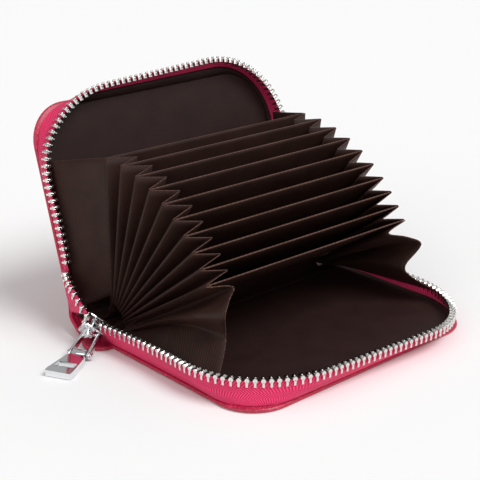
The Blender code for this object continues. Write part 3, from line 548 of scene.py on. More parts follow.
def evenly(line, step, first, spare=0):
    """Places at even steps along a line of points, each with its direction, up to a spare end."""
    spots, place = [], first
    left = sum((b - a).length for a, b in zip(line, line[1:])) - spare + 1e-9
    for a, b in zip(line, line[1:]):
        length = (b - a).length
        while place < length and place <= left:
            spots.append((a + (b - a) * (place / length), (b - a).normalized()))
            place += step
        place, left = place - length, left - length
    return spots


def axes_at(place, y, z):
    """Axes at a place, from two of their directions."""
    return Matrix.Translation(place) @ Matrix((y.cross(z), y, z)).transposed().to_4x4()


def sew(name, body, line, out, step, size, thread, slot):
    """A row of stitches along a line on a cover; out is the direction away from the cloth."""
    bm = bmesh.new()
    spots = evenly(line, step, 0.5 * step)
    for spot, along in spots:
        made = bmesh.ops.create_uvsphere(bm, u_segments=8, v_segments=6, radius=0.5)["verts"]
        bmesh.ops.transform(bm, verts=made, matrix=axes_at(spot, out, along) @ Matrix.Diagonal((*size, 1)))
    stitches = new_piece(name, bm, thread, COVERS[body][0], 60)
    carried(stitches, body, slot)
    print(name, "has", len(spots), "stitches")


for name, (axes, inward) in COVERS.items():
    sew(f"{name}_stitches", name, cover_ring(SEAM_INSET, SEAM_DEPTH, SEAM_START, inward),
        Vector((0, 0, -inward)), 0.003, STITCH, THREAD, "zip_tape")

# %% [markdown]
# ## Spine
#
# The spine's leather is one piece with the covers' and bends at two folds. It could bend with an
# armature, but here the spine is two strips that meet at its middle. Its lining is made the same way,
# and runs on to the covers' linings.

# %% Spine and its lining
SPINE_MIDDLE_LINE, LINING_HALF, LINING_HEIGHT = 0.5 * SPINE_SPAN, 0.0535, 0.0013
NEAR = (0.0008, 0.0018, 0.003)
LINING_ENDS = ((0.0022, 0.003), (0.004, 0.0037), (0.0062, 0.0036))      # along a cover, and height
LOW, HIGH = ("low", "back", "spine"), ("high", "spine", "front")        # half and its two bodies


def fold_line(axes, distances, height=0):
    """Points at some distances from a fold, at a height inside the panel."""
    return [axes @ Vector((0, along, height)) for along in distances]


def across_length(points, half, steps=24):
    """Repeat a line of points along X."""
    return [[Vector((x, p.y, p.z)) for p in points] for x in spread(-half, half, steps)]


def in_cover(name, x, along, height):
    """A point in the room, from its place in a cover and its height above the leather's outside."""
    axes, inward = COVERS[name]
    return axes @ Vector((x, along, inward * (height - CREASE_Z)))


def crossing(name, rows, thick, mat, half, start, end, slot, *nodes):
    """A sheet across a fold."""
    word, *bodies = half
    sheet = sheet_piece(f"{name}_{word}", rows, thick, mat, smooth=60)
    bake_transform(sheet)
    stands_for(sheet, slot, *nodes)
    return sheet


low = fold_line(BACK, (0.0045, 0.003, 0.0018, 0.0008))
low += fold_line(SPINE, (*NEAR, 0.005, 0.0075, SPINE_MIDDLE_LINE))
high = fold_line(SPINE, (SPINE_MIDDLE_LINE, 0.0125, 0.0145, 0.0165, 0.0178, 0.0187))
high += fold_line(FRONT, (*NEAR, 0.0045))
for half, line, start, end in ((LOW, low, 2, 5), (HIGH, high, 3, 7)):
    crossing("spine_leather", across_length(line, HALF - 0.001), 0.00156, LEATHER_SKIN, half,
        line[start], line[end], "leather", "spine")

low = [in_cover("back", 0, *spot) for spot in reversed(LINING_ENDS)]
low += fold_line(SPINE, (0.0012, 0.003, 0.005, 0.0075, SPINE_MIDDLE_LINE), LINING_HEIGHT)
high = fold_line(SPINE, (SPINE_MIDDLE_LINE, 0.012, 0.014, 0.0158, 0.0172), LINING_HEIGHT)
high += [in_cover("front", 0, *spot) for spot in LINING_ENDS]
for half, line in ((LOW, low), (HIGH, high)):
    strip = crossing("spine_lining", across_length(line, LINING_HALF), LINING, TWILL, half,
        line[2], line[5], "lining_cloth")
print("spine span, mm:", round(SPINE_SPAN / MM, 1))

# %% [markdown]
# ## Ears
#
# At each end of the spine an ear of the same leather curls up and closes the corner round the end of
# the zip. It could be cut from the cover's mesh, but it needs a swell and a curl of its own, so it is
# a separate sheet. Like the spine it crosses both folds, and is two halves.

# %% Ears
EAR_BACK, EAR_FRONT, EAR_REACH, EAR_CURL = 0.0058, 0.006, 0.0056, 0.008
EAR_FOOT, EAR_OVERLAP, EAR_THICK = HALF - 0.0009, 0.0012, 0.0013
EAR_CUT = 13        # the station at the spine's middle


def ear_stations():
    """Places along an ear: axes, way inside, distance from the fold, and share of the ear's way."""
    back = [EAR_BACK * s for s in (1, 0.87, 0.75, 0.62, 0.5, 0.34)] + [0.001]
    spine, front = spread(0.001, SPINE_SPAN - 0.003, 12), spread(0.002, EAR_FRONT, 4)
    panels = ((BACK, -1, back, 0, 3), (SPINE, 1, spine, 4, 9), (FRONT, 1, front, 10, 12))
    return [(axes, inward, along, between(first, last, (along - places[0]) / (places[-1] - places[0])) / 12)
        for axes, inward, places, first, last in panels for along in places]


def make_ear(word, side):
    rows = []
    for axes, inward, along, share in ear_stations():
        swell = math.sin(math.pi * (0.08 + 0.9 * share ** 0.6)) + 0.3 * math.exp(-((share - 0.3) / 0.13) ** 2)
        curl = EAR_CURL * share ** 3 * math.sin(math.pi * share)
        rows.append([axes @ Vector((side * (EAR_FOOT + (EAR_REACH + EAR_OVERLAP) * out * swell), along,
            inward * curl * out ** 2)) for out in spread(0, 1, 10)])
    for half, part, start, end in ((LOW, rows[:EAR_CUT + 1], 4, 9), (HIGH, rows[EAR_CUT:], 5, 9)):
        ear = crossing(f"ear_leather_{word}", part, EAR_THICK, LEATHER_SKIN, half,
            part[start][0], part[end][0], "leather", f"ear_{word}")
        rounding = ear.modifiers.new("soft form", "SUBSURF")
        rounding.levels = rounding.render_levels = 1
    print(word, "ear has", len(rows), "stations")


SIDES = (("left", -1), ("right", 1))
for word, side in SIDES:
    make_ear(word, side)

# %% [markdown]
# ## Zip tape
#
# The tape is sewn in behind the leather rim and stands up as a wall. It leans out, and its corners
# open into a wide round. A sweep along a curve would keep one section all the way, so rows of points
# are used, with a lean and a corner that change on the way up.

# %% Zip tape
TAPE_STEPS = dict(side_steps=16, corner_steps=30, front_steps=24)
WALL_OFFSET, WALL_STEPS, TAPE_TOP = 0.0002, 8, 0.0014       # the top is this far below the tooth tips


def tape_section(row):
    """Lean, offset and height from the sewn flange to the free edge."""
    knee, top = row - TOOTH_HEIGHT - SEAT, row - TAPE_TOP
    section = [(0, TAPE_FLANGE, FOOT + 0.0003), (0, 0.0008, FOOT + 0.0003), (0.1, WALL_OFFSET, FOOT + 0.0002),
        (0.2, WALL_OFFSET, FOOT + 0.0001)]
    for share in spread(0, 1, WALL_STEPS):
        section.append((between(0.23, 1, share ** 0.85), WALL_OFFSET, between(FOOT + 0.0001, knee, share)))
    return section + [(1, WALL_OFFSET, between(knee, top, 0.5)), (1, WALL_OFFSET, top)]


for name, (axes, inward) in COVERS.items():
    rows = [wall_line(name, *spot, **TAPE_STEPS) for spot in tape_section(ROWS[name])]
    tape = sheet_piece(f"{name}_tape", rows, TAPE, TAPE_CLOTH, axes, 60)
    carried(tape, name, "zip_tape", f"{name}_zip")
    print(tape.name, "is", round(ROWS[name] / MM, 1), "mm high with its teeth")

# %% [markdown]
# ## Zip teeth
#
# Each tooth is stamped from brass strip and crimped on the tape's edge: two legs hold the tape, and
# the head above them has a nib that meets the other row. They could be bumps on the tape, but single
# teeth catch the light one by one. One tooth is modelled and its mesh is repeated along the row,
# 2.5 mm apart, as counted along the real rows.

# %% One tooth
LEG_HALF, LEG_GAP, LEG_THICK, LEG_TOP, HEAD_HALF = 0.00115, 0.00028, 0.00042, 0.001, 0.00115
NIB, NIB_DEPTH = 0.00042, 0.00026
SHOULDER = [(-0.0004, -0.00165), (-0.0008, -0.00105), (-0.0008, -0.0006), (-0.0003, 0),
    (0.0003, 0), (0.0008, -0.0006), (0.0008, -0.00105), (0.0004, -0.00165)]


def round_edges(bm, verts, radius, segments, profile, clamp=False):
    """Bevel the edges of a solid, taken in a fixed order."""
    edges = list(dict.fromkeys(e for v in verts for e in v.link_edges))
    bmesh.ops.bevel(bm, geom=edges, offset=radius, segments=segments, affect="EDGES", profile=profile,
        clamp_overlap=clamp)


def extruded(bm, outline, way):
    """A closed outline, pushed along a direction into a solid."""
    face = bm.faces.new([bm.verts.new(point) for point in outline])
    grown = bmesh.ops.extrude_face_region(bm, geom=[face])
    far = [item for item in grown["geom"] if isinstance(item, bmesh.types.BMVert)]
    bmesh.ops.translate(bm, verts=far, vec=way)
    return list(face.verts) + far


def add_block(bm, low, high, radius):
    """A block with rounded edges."""
    made = bmesh.ops.create_cube(bm, size=1)["verts"]
    for v in made:
        v.co = Vector([between(a, b, c + 0.5) for a, b, c in zip(low, high, v.co)])
    round_edges(bm, made, radius, 2, 0.6)


def tooth_mesh():
    """X across the tape, Y up to the tip, Z along the row."""
    bm = bmesh.new()
    for side in (-1, 1):
        low, high = sorted((side * LEG_GAP, side * LEG_HALF))
        add_block(bm, (low, -TOOTH_HEIGHT, -LEG_THICK), (high, -LEG_TOP, LEG_THICK), 0.0002)
    head = extruded(bm, [(-HEAD_HALF, y, z) for z, y in SHOULDER], (2 * HEAD_HALF, 0, 0))
    round_edges(bm, head, 0.00016, 2, 0.6)
    nib = bmesh.ops.create_uvsphere(bm, u_segments=8, v_segments=6, radius=NIB)["verts"]
    bmesh.ops.transform(bm, verts=nib, matrix=Matrix.Translation((0, -NIB_DEPTH, 0)))
    mesh = bpy.data.meshes.new("tooth")
    bm.to_mesh(mesh)
    bm.free()
    return mesh


TOOTH = tooth_mesh()
print("one tooth has", len(TOOTH.polygons), "faces")

# %% [markdown]
# A real row is never quite even. Each tooth is turned a little about its own axis by a sine of its
# number, which gives the same row each time, as random numbers would not.

# %% Rows of teeth
ROW_START = {"back": (0.0047, 0), "front": (0.0205, 0.5 * PITCH)}     # from the fold, and shift
ROW_END, WOBBLE, WOBBLE_STEP = 0.0105, 0.03, 7.3


def row_places(name):
    """Places of the teeth along the tape's free edge, with the direction of the row."""
    first, shift = ROW_START[name]
    line = tape_line(name, 1, 0.5 * TAPE, side_steps=24, corner_steps=48, front_steps=5)
    return evenly([Vector(p) for p in line], PITCH, first - TAPE_START + shift, ROW_END - TAPE_START)


def teeth_piece(name, places, axes):
    """One piece with a tooth at each place."""
    bm = bmesh.new()
    for number, place in enumerate(places):
        before = len(bm.verts)
        bm.from_mesh(TOOTH)
        bm.verts.ensure_lookup_table()
        tilt = Matrix.Rotation(WOBBLE * math.sin(WOBBLE_STEP * number), 4, "X")
        bmesh.ops.transform(bm, verts=bm.verts[before:], matrix=place @ tilt)
    print(name, "has", len(places), "teeth")
    return new_piece(name, bm, NICKEL, axes, 50)


for name, (axes, inward) in COVERS.items():
    rise = Vector((0, 0, inward))
    places = [axes_at(wall_point(name, p.x, p.y, ROWS[name]), rise, a.to_3d()) for p, a in row_places(name)]
    teeth = teeth_piece(f"{name}_teeth", places, axes)
    carried(teeth, name, "teeth_metal", f"{name}_zip")

# %% [markdown]
# ## Linings
#
# The lining is cut from the finer twill. It covers the board and runs up the inside of the tape to a
# folded hem, which is sewn down with brown thread. A flat sheet with a rim would do for the floor,
# but the cloth is rounded where it turns up, so it follows the same three sides as the tape.

# %% Linings
HEM_RISE, HEM_ROW, HEM_OUT = 0.46, 3, 0.00018
HEM_STITCH = (0.0003, 0.7 * 0.0003, 0.0017)


def lining_section(hem):
    """Lean, offset and height, from the fold of the hem down to the floor of the cover."""
    section = [(0.62, 0.0007, hem), (0.62, 0.0012, hem + 0.0002), (0.55, 0.0019, hem - 0.0004),
        (0.42, 0.0026, hem - 0.0014)]
    return section + [(lean, offset, LINING_TOP + lift) for lean, offset, lift in (
        (0.36, 0.0022, 0.0006), (0.28, 0.0018, 0.0001), (0.22, 0.0022, 0), (0, 0.0036, 0), (0, 0.006, 0),
        (0, 0.01, 0))]


for name, (axes, inward) in COVERS.items():
    section = lining_section(between(FOOT, ROWS[name] - TOOTH_HEIGHT - SEAT, HEM_RISE))
    bm = bmesh.new()
    verts = grid_faces(bm, [wall_line(name, *spot) for spot in section])
    bm.faces.new(verts[-1])
    layer = bm.loops.layers.uv["mm"]
    for loop in [loop for face in bm.faces for loop in face.loops]:
        loop[layer].uv = loop.vert.co.xy / MM
    lining = new_piece(f"{name}_lining_cloth", bm, [TWILL_FINE, TWILL_EDGE], axes, 60)
    thicken(lining, LINING)
    carried(lining, name, "lining_cloth", f"{name}_lining")
    lean, offset, height = section[HEM_ROW]
    sew(f"{name}_hem_stitches", name, wall_line(name, lean, offset + HEM_OUT, height),
        Vector((0, 0, inward)), 0.0024, HEM_STITCH, THREAD_BROWN, "lining_cloth")

# %% [markdown]
# ## Parts kept from the CAD model
#
# The two boards are plain sheets of grey board, and the rivet is a plain pin. They could be modelled
# again, but their CAD shapes are right already, so they only get a better material.

# %% Carried-over nodes
for name, mat in (("back_board", BOARD), ("front_board", BOARD), ("pull_rivet", CHROME)):
    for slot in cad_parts[name].material_slots:
        slot.material = mat
    print(name, "is", mat.name)

# %% [markdown]
# ## Zip stops
#
# A zip stop is a clip of sheet metal, bent over the tape's edge and pressed shut on it. It could be
# one block with a bevel, but the gap between its cheeks shows from above, so it is built as two
# cheeks and a round back. It is put where the CAD model has its plain stop.

# %% Zip stops
STOP_SIZE, CHEEK = Vector((0.0023, 0.0024, 0.0028)), 0.36

for name, (axes, inward) in COVERS.items():
    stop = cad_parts[f"{name}_zip_stop"]
    corners = [axes.inverted() @ stop.matrix_world @ Vector(corner) for corner in stop.bound_box]
    middle = Vector([0.5 * (min(c[i] for c in corners) + max(c[i] for c in corners)) for i in range(3)])
    low, high = middle - 0.5 * STOP_SIZE, middle + 0.5 * STOP_SIZE
    cheek, top = CHEEK * (high.x - low.x), 0.5 * (low.z + high.z)
    back = ((low.x, low.y, top), high) if inward > 0 else (low, (high.x, high.y, top))
    bm = bmesh.new()
    add_block(bm, low, (low.x + cheek, high.y, high.z), 0.0003)
    add_block(bm, (high.x - cheek, low.y, low.z), high, 0.0003)
    add_block(bm, *back, 0.0006)
    clip = new_piece(f"{name}_stop_clip", bm, NICKEL, axes, 50)
    carried(clip, name, "teeth_metal", f"{name}_zip_stop")
    print(name, "stop is at, mm:", [round(v / MM, 1) for v in middle])

# %% [markdown]
# ## Dividers
#
# Ten panels of twill, glued on a stiffener, make the pockets. A plane would be enough for their
# shape, but the rows of points stand closer at the front edge, so that its turned cloth is sharp.

# %% Dividers
CLOTH = [TWILL, TWILL_EDGE]
HEIGHTS = [0.0006, 0.004, 0.012, 0.022, 0.034, 0.044]
HEIGHTS += [DIVIDER_REACH - below for below in (0.003, 0.0012, 0)]

for axes, body in zip(FANS, DIVIDER_BODY):
    half = END - 0.0002
    rows = [[Vector((x, height, 0)) for x in spread(-half, half, 16)] for height in HEIGHTS]
    divider = sheet_piece(f"{body}_cloth", rows, DIVIDER, CLOTH, axes, 40)
    carried(divider, body, "lining_cloth", body)
print(len(FANS), "dividers")

# %% [markdown]
# ## Pleats
#
# A strip of the same twill closes both ends of the pockets, folded like a fan. A zigzag of straight
# legs would look like card, so each leg hangs in a little, most in the middle of its reach. Each pleat
# is drawn between the two dividers that it joins.

# %% Pleats
PLEAT_STEPS, PLEAT_CLOTH = 16, 0.00024
PLEAT_BASE = 0.0009      # the folds run together this far from the fold lines
RIDGE = 0.00055          # how far the cloth stands out where it goes round a divider's end
BULGE = 0.00035 / 0.0045        # of the way between two dividers


def pleat_section(width, depth, bulge):
    """One pleat seen from the front edge: (outwards from the divider's end, up from the lower one)."""
    leg = min(0.00042, 0.4 * width)
    half = [(RIDGE, 0), (0.9 * RIDGE, 0.5 * leg), (0.3 * RIDGE, leg)]
    for share in spread(0, 1, 6)[1:-1]:
        swell = math.sin(math.pi * share) * bulge
        rise = between(leg, 0.5 * width - min(0.00015, 0.05 * width), share)
        half.append((between(0.3 * RIDGE, -depth + 0.0003, share), rise + swell))
    half.append((-depth + 0.0001, 0.5 * width - min(0.00018, 0.05 * width)))
    return half + [(-depth, 0.5 * width)] + [(x, width - y) for x, y in reversed(half)]


def make_pleat(index, word, side):
    number = DIVIDERS - 1 - index
    rows = []
    for share in spread(0, 1, PLEAT_STEPS):
        reach = between(PLEAT_BASE, DIVIDER_REACH, share)
        depth = PLEAT_DEPTH * min(1, 0.3 + 2.2 * share)
        low, high = [fan @ Vector((side * END, reach, 0)) for fan in FANS[index:index + 2]]
        up, width = (high - low).normalized(), (high - low).length
        section = pleat_section(width, depth, -BULGE * width * math.sin(math.pi * share))
        rows.append([low + Vector((side * out, 0, 0)) + up * rise for out, rise in section])
    pleat = sheet_piece(f"pleat_cloth_{word}_{number}", rows, PLEAT_CLOTH, CLOTH)
    first, last = rows[-1][0], rows[-1][-1]
    centre, reach = 0.5 * (first + last), 0.42 * (last - first)
    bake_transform(pleat)
    stands_for(pleat, "lining_cloth", f"pleat_{word}_{number}")
    return (last - first).length


for word, side in SIDES:
    widths = [make_pleat(index, word, side) for index in range(DIVIDERS - 1)]
    print(word, "pleats open, mm:", [round(width / MM, 1) for width in widths])

# %% [markdown]
# ## Ends of the two large pockets
#
# The pockets below and above the fan are closed at their ends by soft cloth, narrow at the spine and
# wide at the front. It could be draped by simulation, but few folds show and their places are known.
# So the cloth is stretched between its base, its foot and its front edge, smoothed across the folds,
# and bows a little between foot and edge.

# %% Cloth for the pocket ends
END_FOOT, END_CLOTH = 0.0102, 0.0003
FAN_STEPS, BASE_STEPS = 16, 4
SLACK, FLAT = Vector((0, 0, -0.0006)), Vector((0, 0, 0))


def smooth_line(points, steps):
    """A smooth curve through points, with the same number of steps between each two."""
    points = [Vector(p) for p in points]
    full = [2 * points[0] - points[1]] + points + [2 * points[-1] - points[-2]]
    out = []
    for a, b, c, d in zip(full, full[1:], full[2:], full[3:]):
        for t in spread(0, 1, steps)[:-1]:
            out.append(0.5 * (2 * b + (c - a) * t + (2 * a - 5 * b + 4 * c - d) * t ** 2
                + (3 * b - 3 * c + d - a) * t ** 3))
    return out + [points[-1]]


def end_cloth(name, word, start, end, foot, edge, bow, fine):
    """Cloth from a slack base, between start and end, over its foot to its front edge."""
    last = len(foot) - 1
    base = [between(start, end, share) + SLACK * math.sin(math.pi * share) for share in spread(0, 1, last)]
    rows = [smooth_line([between(a, b, share) for a, b in zip(base, foot)], fine)
        for share in spread(0, 1, BASE_STEPS)[:-1]]
    for share in spread(0, 1, FAN_STEPS):
        swell = math.sin(math.pi * share)
        rows.append(smooth_line([between(a, b, share) + swell * c for a, b, c in zip(foot, edge, bow)], fine))
    gusset = sheet_piece(f"{name}_gusset_cloth_{word}", rows, END_CLOTH, CLOTH)
    stands_for(gusset, "lining_cloth", f"{name}_gusset_{word}")
    print(gusset.name, "opens, mm:", round((edge[-1] - edge[0]).length / MM, 1))
    return gusset


def on_divider(name, x, reach, clear=0):
    """A point of the divider next to a cover, a clear distance off its cloth."""
    fan = FANS[0] if name == "back" else FANS[-1]
    return fan @ Vector((x, reach, -COVERS[name][1] * (0.5 * DIVIDER + clear)))


def crumples(obj):
    """Give a piece a mesh of its own."""
    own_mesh(obj)


# %% [markdown]
# The lower pocket is open wide, so five points of its foot and its front edge are given besides the
# held ones. Each is a distance in from the divider's end, a way along and a height. The upper pocket
# is nearly shut at its foot and has one soft fold in the middle.

# %% Pocket ends
LOWER_FOOT = ((0.0015, 0.87), (0.0012, 0.77), (-0.001, 0.68), (-0.0002, 0.58), (-0.0012, 0.52))
LOWER_EDGE = ((0.0095, 0.927, 0.596), (0.004, 1.01, 0.565), (-0.0004, 1.065, 0.506), (0.0032, 0.99, 0.35),
    (0.0014, 1.02, 0.267))
LOWER_BOW = ((-0.001, 0), (-0.0024, 0), (0.0018, 0.002), (-0.0014, 0.0026), (-0.0012, 0.0034))
CLOTH_START, CLEAR = END - 0.001, 0.0002        # inside the divider's end, and off its cloth
LOWER_WALL, UPPER_WALL = HALF - 0.0012, HALF - 0.0008


def make_lower_end(word, side):
    row = ROWS["back"]
    foot, edge = [[on_divider("back", side * x, reach, CLEAR) for x in (CLOTH_START, END + RIDGE)]
        for reach in (PLEAT_FOOT, DIVIDER_REACH)]
    foot += [in_cover("back", side * (END - inside), END_FOOT, up * row) for inside, up in LOWER_FOOT]
    foot.append(in_cover("back", side * LOWER_WALL, END_FOOT, 0.45 * row))
    edge += [in_cover("back", side * (END - inside), along * DIVIDER_REACH, up * DIVIDER_REACH)
        for inside, along, up in LOWER_EDGE]
    edge.append(in_cover("back", side * LOWER_WALL, 1.13 * DIVIDER_REACH, 0.75 * row))
    bow = [FLAT, FLAT] + [Vector((side * out, 0, rise)) for out, rise in LOWER_BOW] + [FLAT]
    start = on_divider("back", side * CLOTH_START, 0.0006, CLEAR)
    end = in_cover("back", side * (LOWER_WALL - 0.0006), 0.0044, 0.34 * row)
    gusset = end_cloth("back", word, start, end, foot, edge, bow, 5)
    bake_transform(gusset)


def make_upper_end(word, side):
    row = ROWS["front"]
    start, low, high = [
        on_divider("front", side * END, reach) for reach in (0.0034, PLEAT_FOOT, DIVIDER_REACH)]
    end, wall_foot, wall_edge = [in_cover("front", side * UPPER_WALL, along, up * row) for along, up in
        ((0.0046, 0.42), (END_FOOT, 0.45), (1.064 * DIVIDER_REACH, 0.75))]
    foot = [low, between(low, wall_foot, 0.5), wall_foot]
    edge = [high, between(high, wall_edge, 0.42), wall_edge]
    bow = [FLAT, Vector((-side * 0.0016, 0, 0)), FLAT]
    gusset = end_cloth("front", word, start, end, foot, edge, bow, 8)
    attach(gusset, "front")
    crumples(gusset)


for word, side in SIDES:
    make_lower_end(word, side)
    make_upper_end(word, side)

# %% [markdown]
# ## Free end of the zip
#
# At the slider the upper half of the zip leaves its wall and sweeps down into the slider's mouth. A
# curve object could carry it, but the tape keeps its foot on the cover while its free edge goes down.
# So the edge is a curve with one bend, and the tape is drawn from it to the foot.

# %% Free end of the zip
SWEEP_TEETH, SWEEP_RISE, SWEEP_OUT, SWEEP_END, SWEEP_KNEE = 8, 0.0141, 0.0033, 0.0044, 0.3
SWEEP_FOOT, SWEEP_TOP = 0.0066, 0.0006      # height of the tape's foot, and from its edge to the tips


def sweep_curve(share):
    """Tip line of the free end: distance from the crease and height, and its direction."""
    start = Vector((ROW_START["front"][0] - 0.5 * PITCH, ROWS["front"]))
    end = Vector((SWEEP_END, ROWS["front"] + SWEEP_RISE))
    knee = Vector((between(start.x, end.x, SWEEP_KNEE), start.y))
    point = (1 - share) ** 2 * start + 2 * share * (1 - share) * knee + share ** 2 * end
    along = (2 * (1 - share) * (knee - start) + 2 * share * (end - knee)).normalized()
    return point, along


side = -HALF - SWELL_SIDE + 0.5 * TAPE
foot = SWEEP_FOOT + SEAT - CREASE_Z
places, rows = [], []
for number in range(2 * SWEEP_TEETH + 1):
    share = number / (2 * SWEEP_TEETH)
    point, along = sweep_curve(share)
    run, rise = Vector((0, along.x, along.y)), Vector((0, along.y, -along.x))
    tip = Vector((side - SWEEP_OUT * share ** 2, point.x, point.y - CREASE_Z))
    if number and number % 2 == 0:
        places.append(axes_at(tip, rise, run))
    top = tip - rise * SWEEP_TOP
    rows.append(spread(Vector((side, top.y, foot)), top, 8))
tape = sheet_piece("zip_end_tape", rows, TAPE, TAPE_CLOTH, FRONT, 60)
teeth = teeth_piece("zip_end_teeth", places, FRONT)
for obj, slot in ((tape, "zip_tape"), (teeth, "teeth_metal")):
    carried(obj, "front", slot, "front_zip_end")
    crumples(obj)

# %% [markdown]
# ## Slider and pull
#
# The slider is cast zinc: two plates round a wedge, with a crown on top that holds the pull. It sits
# askew at the end of the zip, with the link hanging from its crown and the tab lying on the table.
# Each could be drawn in place in the room, but it is far easier to draw it flat in its own axes.

# %% Axes of the slider and pull
RISE, SWING_OUT, YAW, ROLL_IN = [math.radians(angle) for angle in (31.5, 50, 27, -7)]
LINK_LENGTH, TAB_LENGTH = 0.0093, 0.0158
RIVET_HEIGHT, TAB_DROP = 0.0019, 0.0006
mouth = Vector((0, -math.cos(RISE), math.sin(RISE)))
below = Vector((0, -math.sin(RISE), -math.cos(RISE)))
outward = Vector((-math.cos(SWING_OUT), 0, 0)) + below * math.sin(SWING_OUT)
slider_middle = Vector((-HALF - 0.0027, CREASE_Y + 0.0018, ROWS["back"] - 0.0035))
SLIDER = axes_at(slider_middle, mouth, outward) @ Matrix.Rotation(ROLL_IN, 4, "Y")
hook = slider_middle + outward * 0.00365 + mouth * 0.0012
link_slope = math.asin((hook.z - RIVET_HEIGHT) / LINK_LENGTH)
level = Vector((-math.cos(YAW), -math.sin(YAW), 0))
across = Vector((-math.sin(YAW), math.cos(YAW), 0))
down = level * math.cos(link_slope) - Vector((0, 0, math.sin(link_slope)))
LINK = axes_at(hook, down, across.cross(down))
tab_slope = math.asin(TAB_DROP / TAB_LENGTH)
TAB = folded(LINK, (0, LINK_LENGTH, 0), math.degrees(link_slope - tab_slope))
SIDEWAYS = Matrix(((0, 0, 1, 0), (1, 0, 0, 0), (0, 1, 0, 0), (0, 0, 0, 1)))
print("link slopes by, degrees:", round(math.degrees(link_slope), 1))

# %% [markdown]
# The plating follows every edge of the casting, so the edges are rounded with a bevel and catch a
# bright line of light. A box without bevels would look like paper. The slider's shield, its rails,
# the post between its plates and its crown are all flat outlines, pushed to a thickness.

# %% Slider
SHIELD_TAIL, SHIELD_WIDE, SHIELD_HALF = 0.0032, 0.0046, 0.0043
PLATE_IN, PLATE_OUT = 0.0016, 0.0026        # inner and outer face of both plates, from the middle
RAIL, CROWN, CROWN_HALF = 0.0008, 0.0028, 0.0013


def add_plate(bm, outline, low, high, radius, place=None, segments=3):
    """A flat outline with a thickness and rounded edges."""
    verts = extruded(bm, [(x, y, low) for x, y in outline], (0, 0, high - low))
    if place is not None:
        bmesh.ops.transform(bm, verts=verts, matrix=place)
    round_edges(bm, verts, radius, segments, 0.5, clamp=True)


def metal_piece(name, bm, axes, body, node):
    obj = new_piece(name, bm, CHROME, axes, 35)
    carried(obj, body, "slider_metal", node)
    print(name, "has", len(obj.data.polygons), "faces")


def mirrored(half):
    return half + [(-x, y) for x, y in reversed(half)]


def make_slider():
    tail, wide, half = SHIELD_TAIL, SHIELD_WIDE, SHIELD_HALF
    shield = mirrored([(-0.0014, half), (-0.0036, 0.004), (-wide, 0.003), (-wide, 0.0017), (-tail, -0.001),
        (-tail, -0.0034), (-0.0021, -half)])
    rail = [(tail, -0.0036), (tail, -0.001), (wide, 0.0017), (wide, 0.0034), (wide - RAIL, 0.0034),
        (wide - RAIL, 0.0018), (tail - RAIL, -0.0009), (tail - RAIL, -0.0036)]
    bm = bmesh.new()
    for level in (-1, 1):
        add_plate(bm, shield, *sorted((level * PLATE_IN, level * PLATE_OUT)), 0.00028)
        for side in (-1, 1):
            add_plate(bm, [(side * x, y) for x, y in rail],
                *sorted((level * (PLATE_IN - 0.001), level * (PLATE_OUT - 0.0002))), 0.00018)
    foot = PLATE_OUT - 0.0003
    post = [(0.0009, 0.0018), (-0.0009, 0.0018), (-0.0013, 0.0006), (0, -0.0016), (0.0013, 0.0006)]
    add_plate(bm, post, -foot, foot, 0.0002)
    crown = [(-0.0028, foot), (-0.001, PLATE_OUT + CROWN), (0.002, PLATE_OUT + CROWN),
        (0.0026, PLATE_OUT + 0.8 * CROWN), (0.0026, foot)]
    place = Matrix.Translation((-0.0007, 0.0004, 0)) @ SIDEWAYS
    add_plate(bm, crown, -CROWN_HALF, CROWN_HALF, 0.00028, place)
    metal_piece("slider_casting", bm, SLIDER, "back", "slider_body")


make_slider()

# %% [markdown]
# The link is a narrow frame: two arms that spread a little towards the rivet, and a round bar that
# lies in the crown. The tab is a plate with a window, thicker at its end, and a barrel round the
# rivet. A Boolean could cut the window, but filling the plan between its two outlines keeps clean
# edges all round, and these take the same bevel as the rim.

# %% Link and tab
ARM_X, ARM, ARM_SPREAD = 0.00295, 0.0011, 0.0007
LINK_ROUND, LINK_EYE, LINK_BAR = 0.00085, 0.0014, 0.0005
TAB_HALF = [(0.0026, 0.0014), (0.0026, 0.0022), (0.0036, 0.0031), (0.0049, TAB_LENGTH - 0.0024),
    (0.0049, TAB_LENGTH - 0.0004), (0.0046, TAB_LENGTH)]
WINDOW_X, WINDOW_Y, WINDOW_AT, WINDOW_CORNER = 0.0036, 0.0018, 0.01, 0.0007
TAB_THIN, TAB_THICK, TAB_FROM, BARREL, BARREL_HALF = 0.00075, 0.0011, 0.001, 0.0017, 0.0026
BAR_ARC = (0, 345, 23)      # first and last angle, and steps


def make_link():
    bm = bmesh.new()
    outline = arc(0, 0, LINK_ROUND, 90, 270, 8) + arc(LINK_LENGTH, 0, LINK_EYE, -112, 112, 16)
    for side in (-1, 1):
        shear = Matrix.Identity(4)
        shear[0][1] = side * ARM_SPREAD / LINK_LENGTH
        middle = side * ARM_X
        add_plate(bm, outline, middle - 0.5 * ARM, middle + 0.5 * ARM, 0.00025, shear @ SIDEWAYS)
    add_plate(bm, arc(0, 0, LINK_BAR, *BAR_ARC), -ARM_X, ARM_X, 0.0001, SIDEWAYS, 1)
    metal_piece("pull_link_frame", bm, LINK, "pull_link", "pull_link")


def window_outline():
    """The tab's window, with round corners."""
    line = []
    for sx, sy, first in ((1, -1, -90), (1, 1, 0), (-1, 1, 90), (-1, -1, 180)):
        x, y = sx * (WINDOW_X - WINDOW_CORNER), WINDOW_AT + sy * (WINDOW_Y - WINDOW_CORNER)
        line += arc(x, y, WINDOW_CORNER, first, first + 90, 4)
    return line


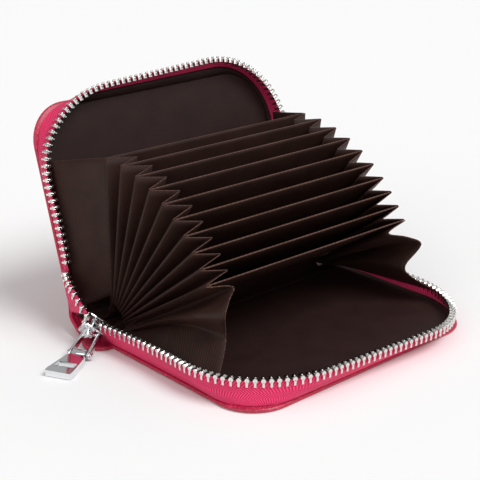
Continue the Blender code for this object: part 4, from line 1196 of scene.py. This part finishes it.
def tab_point(x, y, sign):
    """A point of the tab's upper or lower face. The tab is thicker at its end."""
    return x, y, sign * between(TAB_THIN, TAB_THICK, (y - TAB_FROM) / (TAB_LENGTH - TAB_FROM))


def make_tab():
    bm = bmesh.new()
    rings = []
    for sign in (-1, 1):
        loops = [[bm.verts.new(tab_point(x, y, sign)) for x, y in outline]
            for outline in (mirrored(TAB_HALF), window_outline())]
        edges = [bm.edges.new((a, b)) for loop in loops for a, b in zip(loop, loop[1:] + loop[:1])]
        bmesh.ops.triangle_fill(bm, use_beauty=True, use_dissolve=False, edges=edges)
        rings.append(loops)
    walls = []
    for low, high in zip(*rings):
        for a, b, c, d in zip(low, low[1:] + low[:1], high[1:] + high[:1], high):
            walls.append(bm.faces.new((a, b, c, d)))
    rims = [e for f in walls for e in f.edges if len({v.co.z > 0 for v in e.verts}) == 1]
    corners = [e for f in walls for e in f.edges if e not in rims and e.verts[0] in rings[0][0] + rings[1][0]]
    bmesh.ops.bevel(bm, geom=list(dict.fromkeys(rims + corners)), offset=0.00032, segments=3, affect="EDGES",
        profile=0.5, clamp_overlap=True)
    add_plate(bm, arc(0, 0, BARREL, *BAR_ARC), -BARREL_HALF, BARREL_HALF, 0.0002, SIDEWAYS, 2)
    metal_piece("pull_tab_plate", bm, TAB, "pull_tab", "pull_tab")


make_link()
make_tab()

# %% [markdown]
# ## Base of the accordion
#
# Under the fan the cloth of the two large pockets runs down to the spine and closes them. It hardly
# shows and could be left out, but then light would shine through. Each base is one line of points,
# bent from the cover or the spine up to a divider and repeated along the fan's length.

# %% Base of the accordion
BASE_HALF, BASE_CLEAR, BASE_INNER = END + 0.0003, 0.00035, 0.0016
low_line = [in_cover("back", 0, *spot) for spot in
    ((0.0105, 0.0036), (0.0078, 0.0037), (0.0058, 0.0042), (0.0044, 0.0052), (0.0034, 0.0062))]
low_line = smooth_line(low_line + fold_line(FANS[0], (0.0008, 0.0022, 0.004), BASE_CLEAR), 3)
web = sheet_piece("pocket_base_low", across_length(low_line, BASE_HALF), LINING, TWILL)
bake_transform(web)
stands_for(web, "lining_cloth")

high_line = fold_line(FANS[-1], (0.004, 0.0022, 0.0006), -BASE_CLEAR)
high_line += [Vector((0, y, z)) for y, z in ((0.045, 0.0098), (0.0462, 0.007), (0.0482, 0.005))]
high_line = smooth_line(high_line + fold_line(SPINE, (0.0125, 0.015), BASE_INNER), 3)
web = sheet_piece("pocket_base_high", across_length(high_line, BASE_HALF), LINING, TWILL)
carried(web, "spine", "lining_cloth")
crumples(web)
print("bases have", len(low_line), "and", len(high_line), "points")
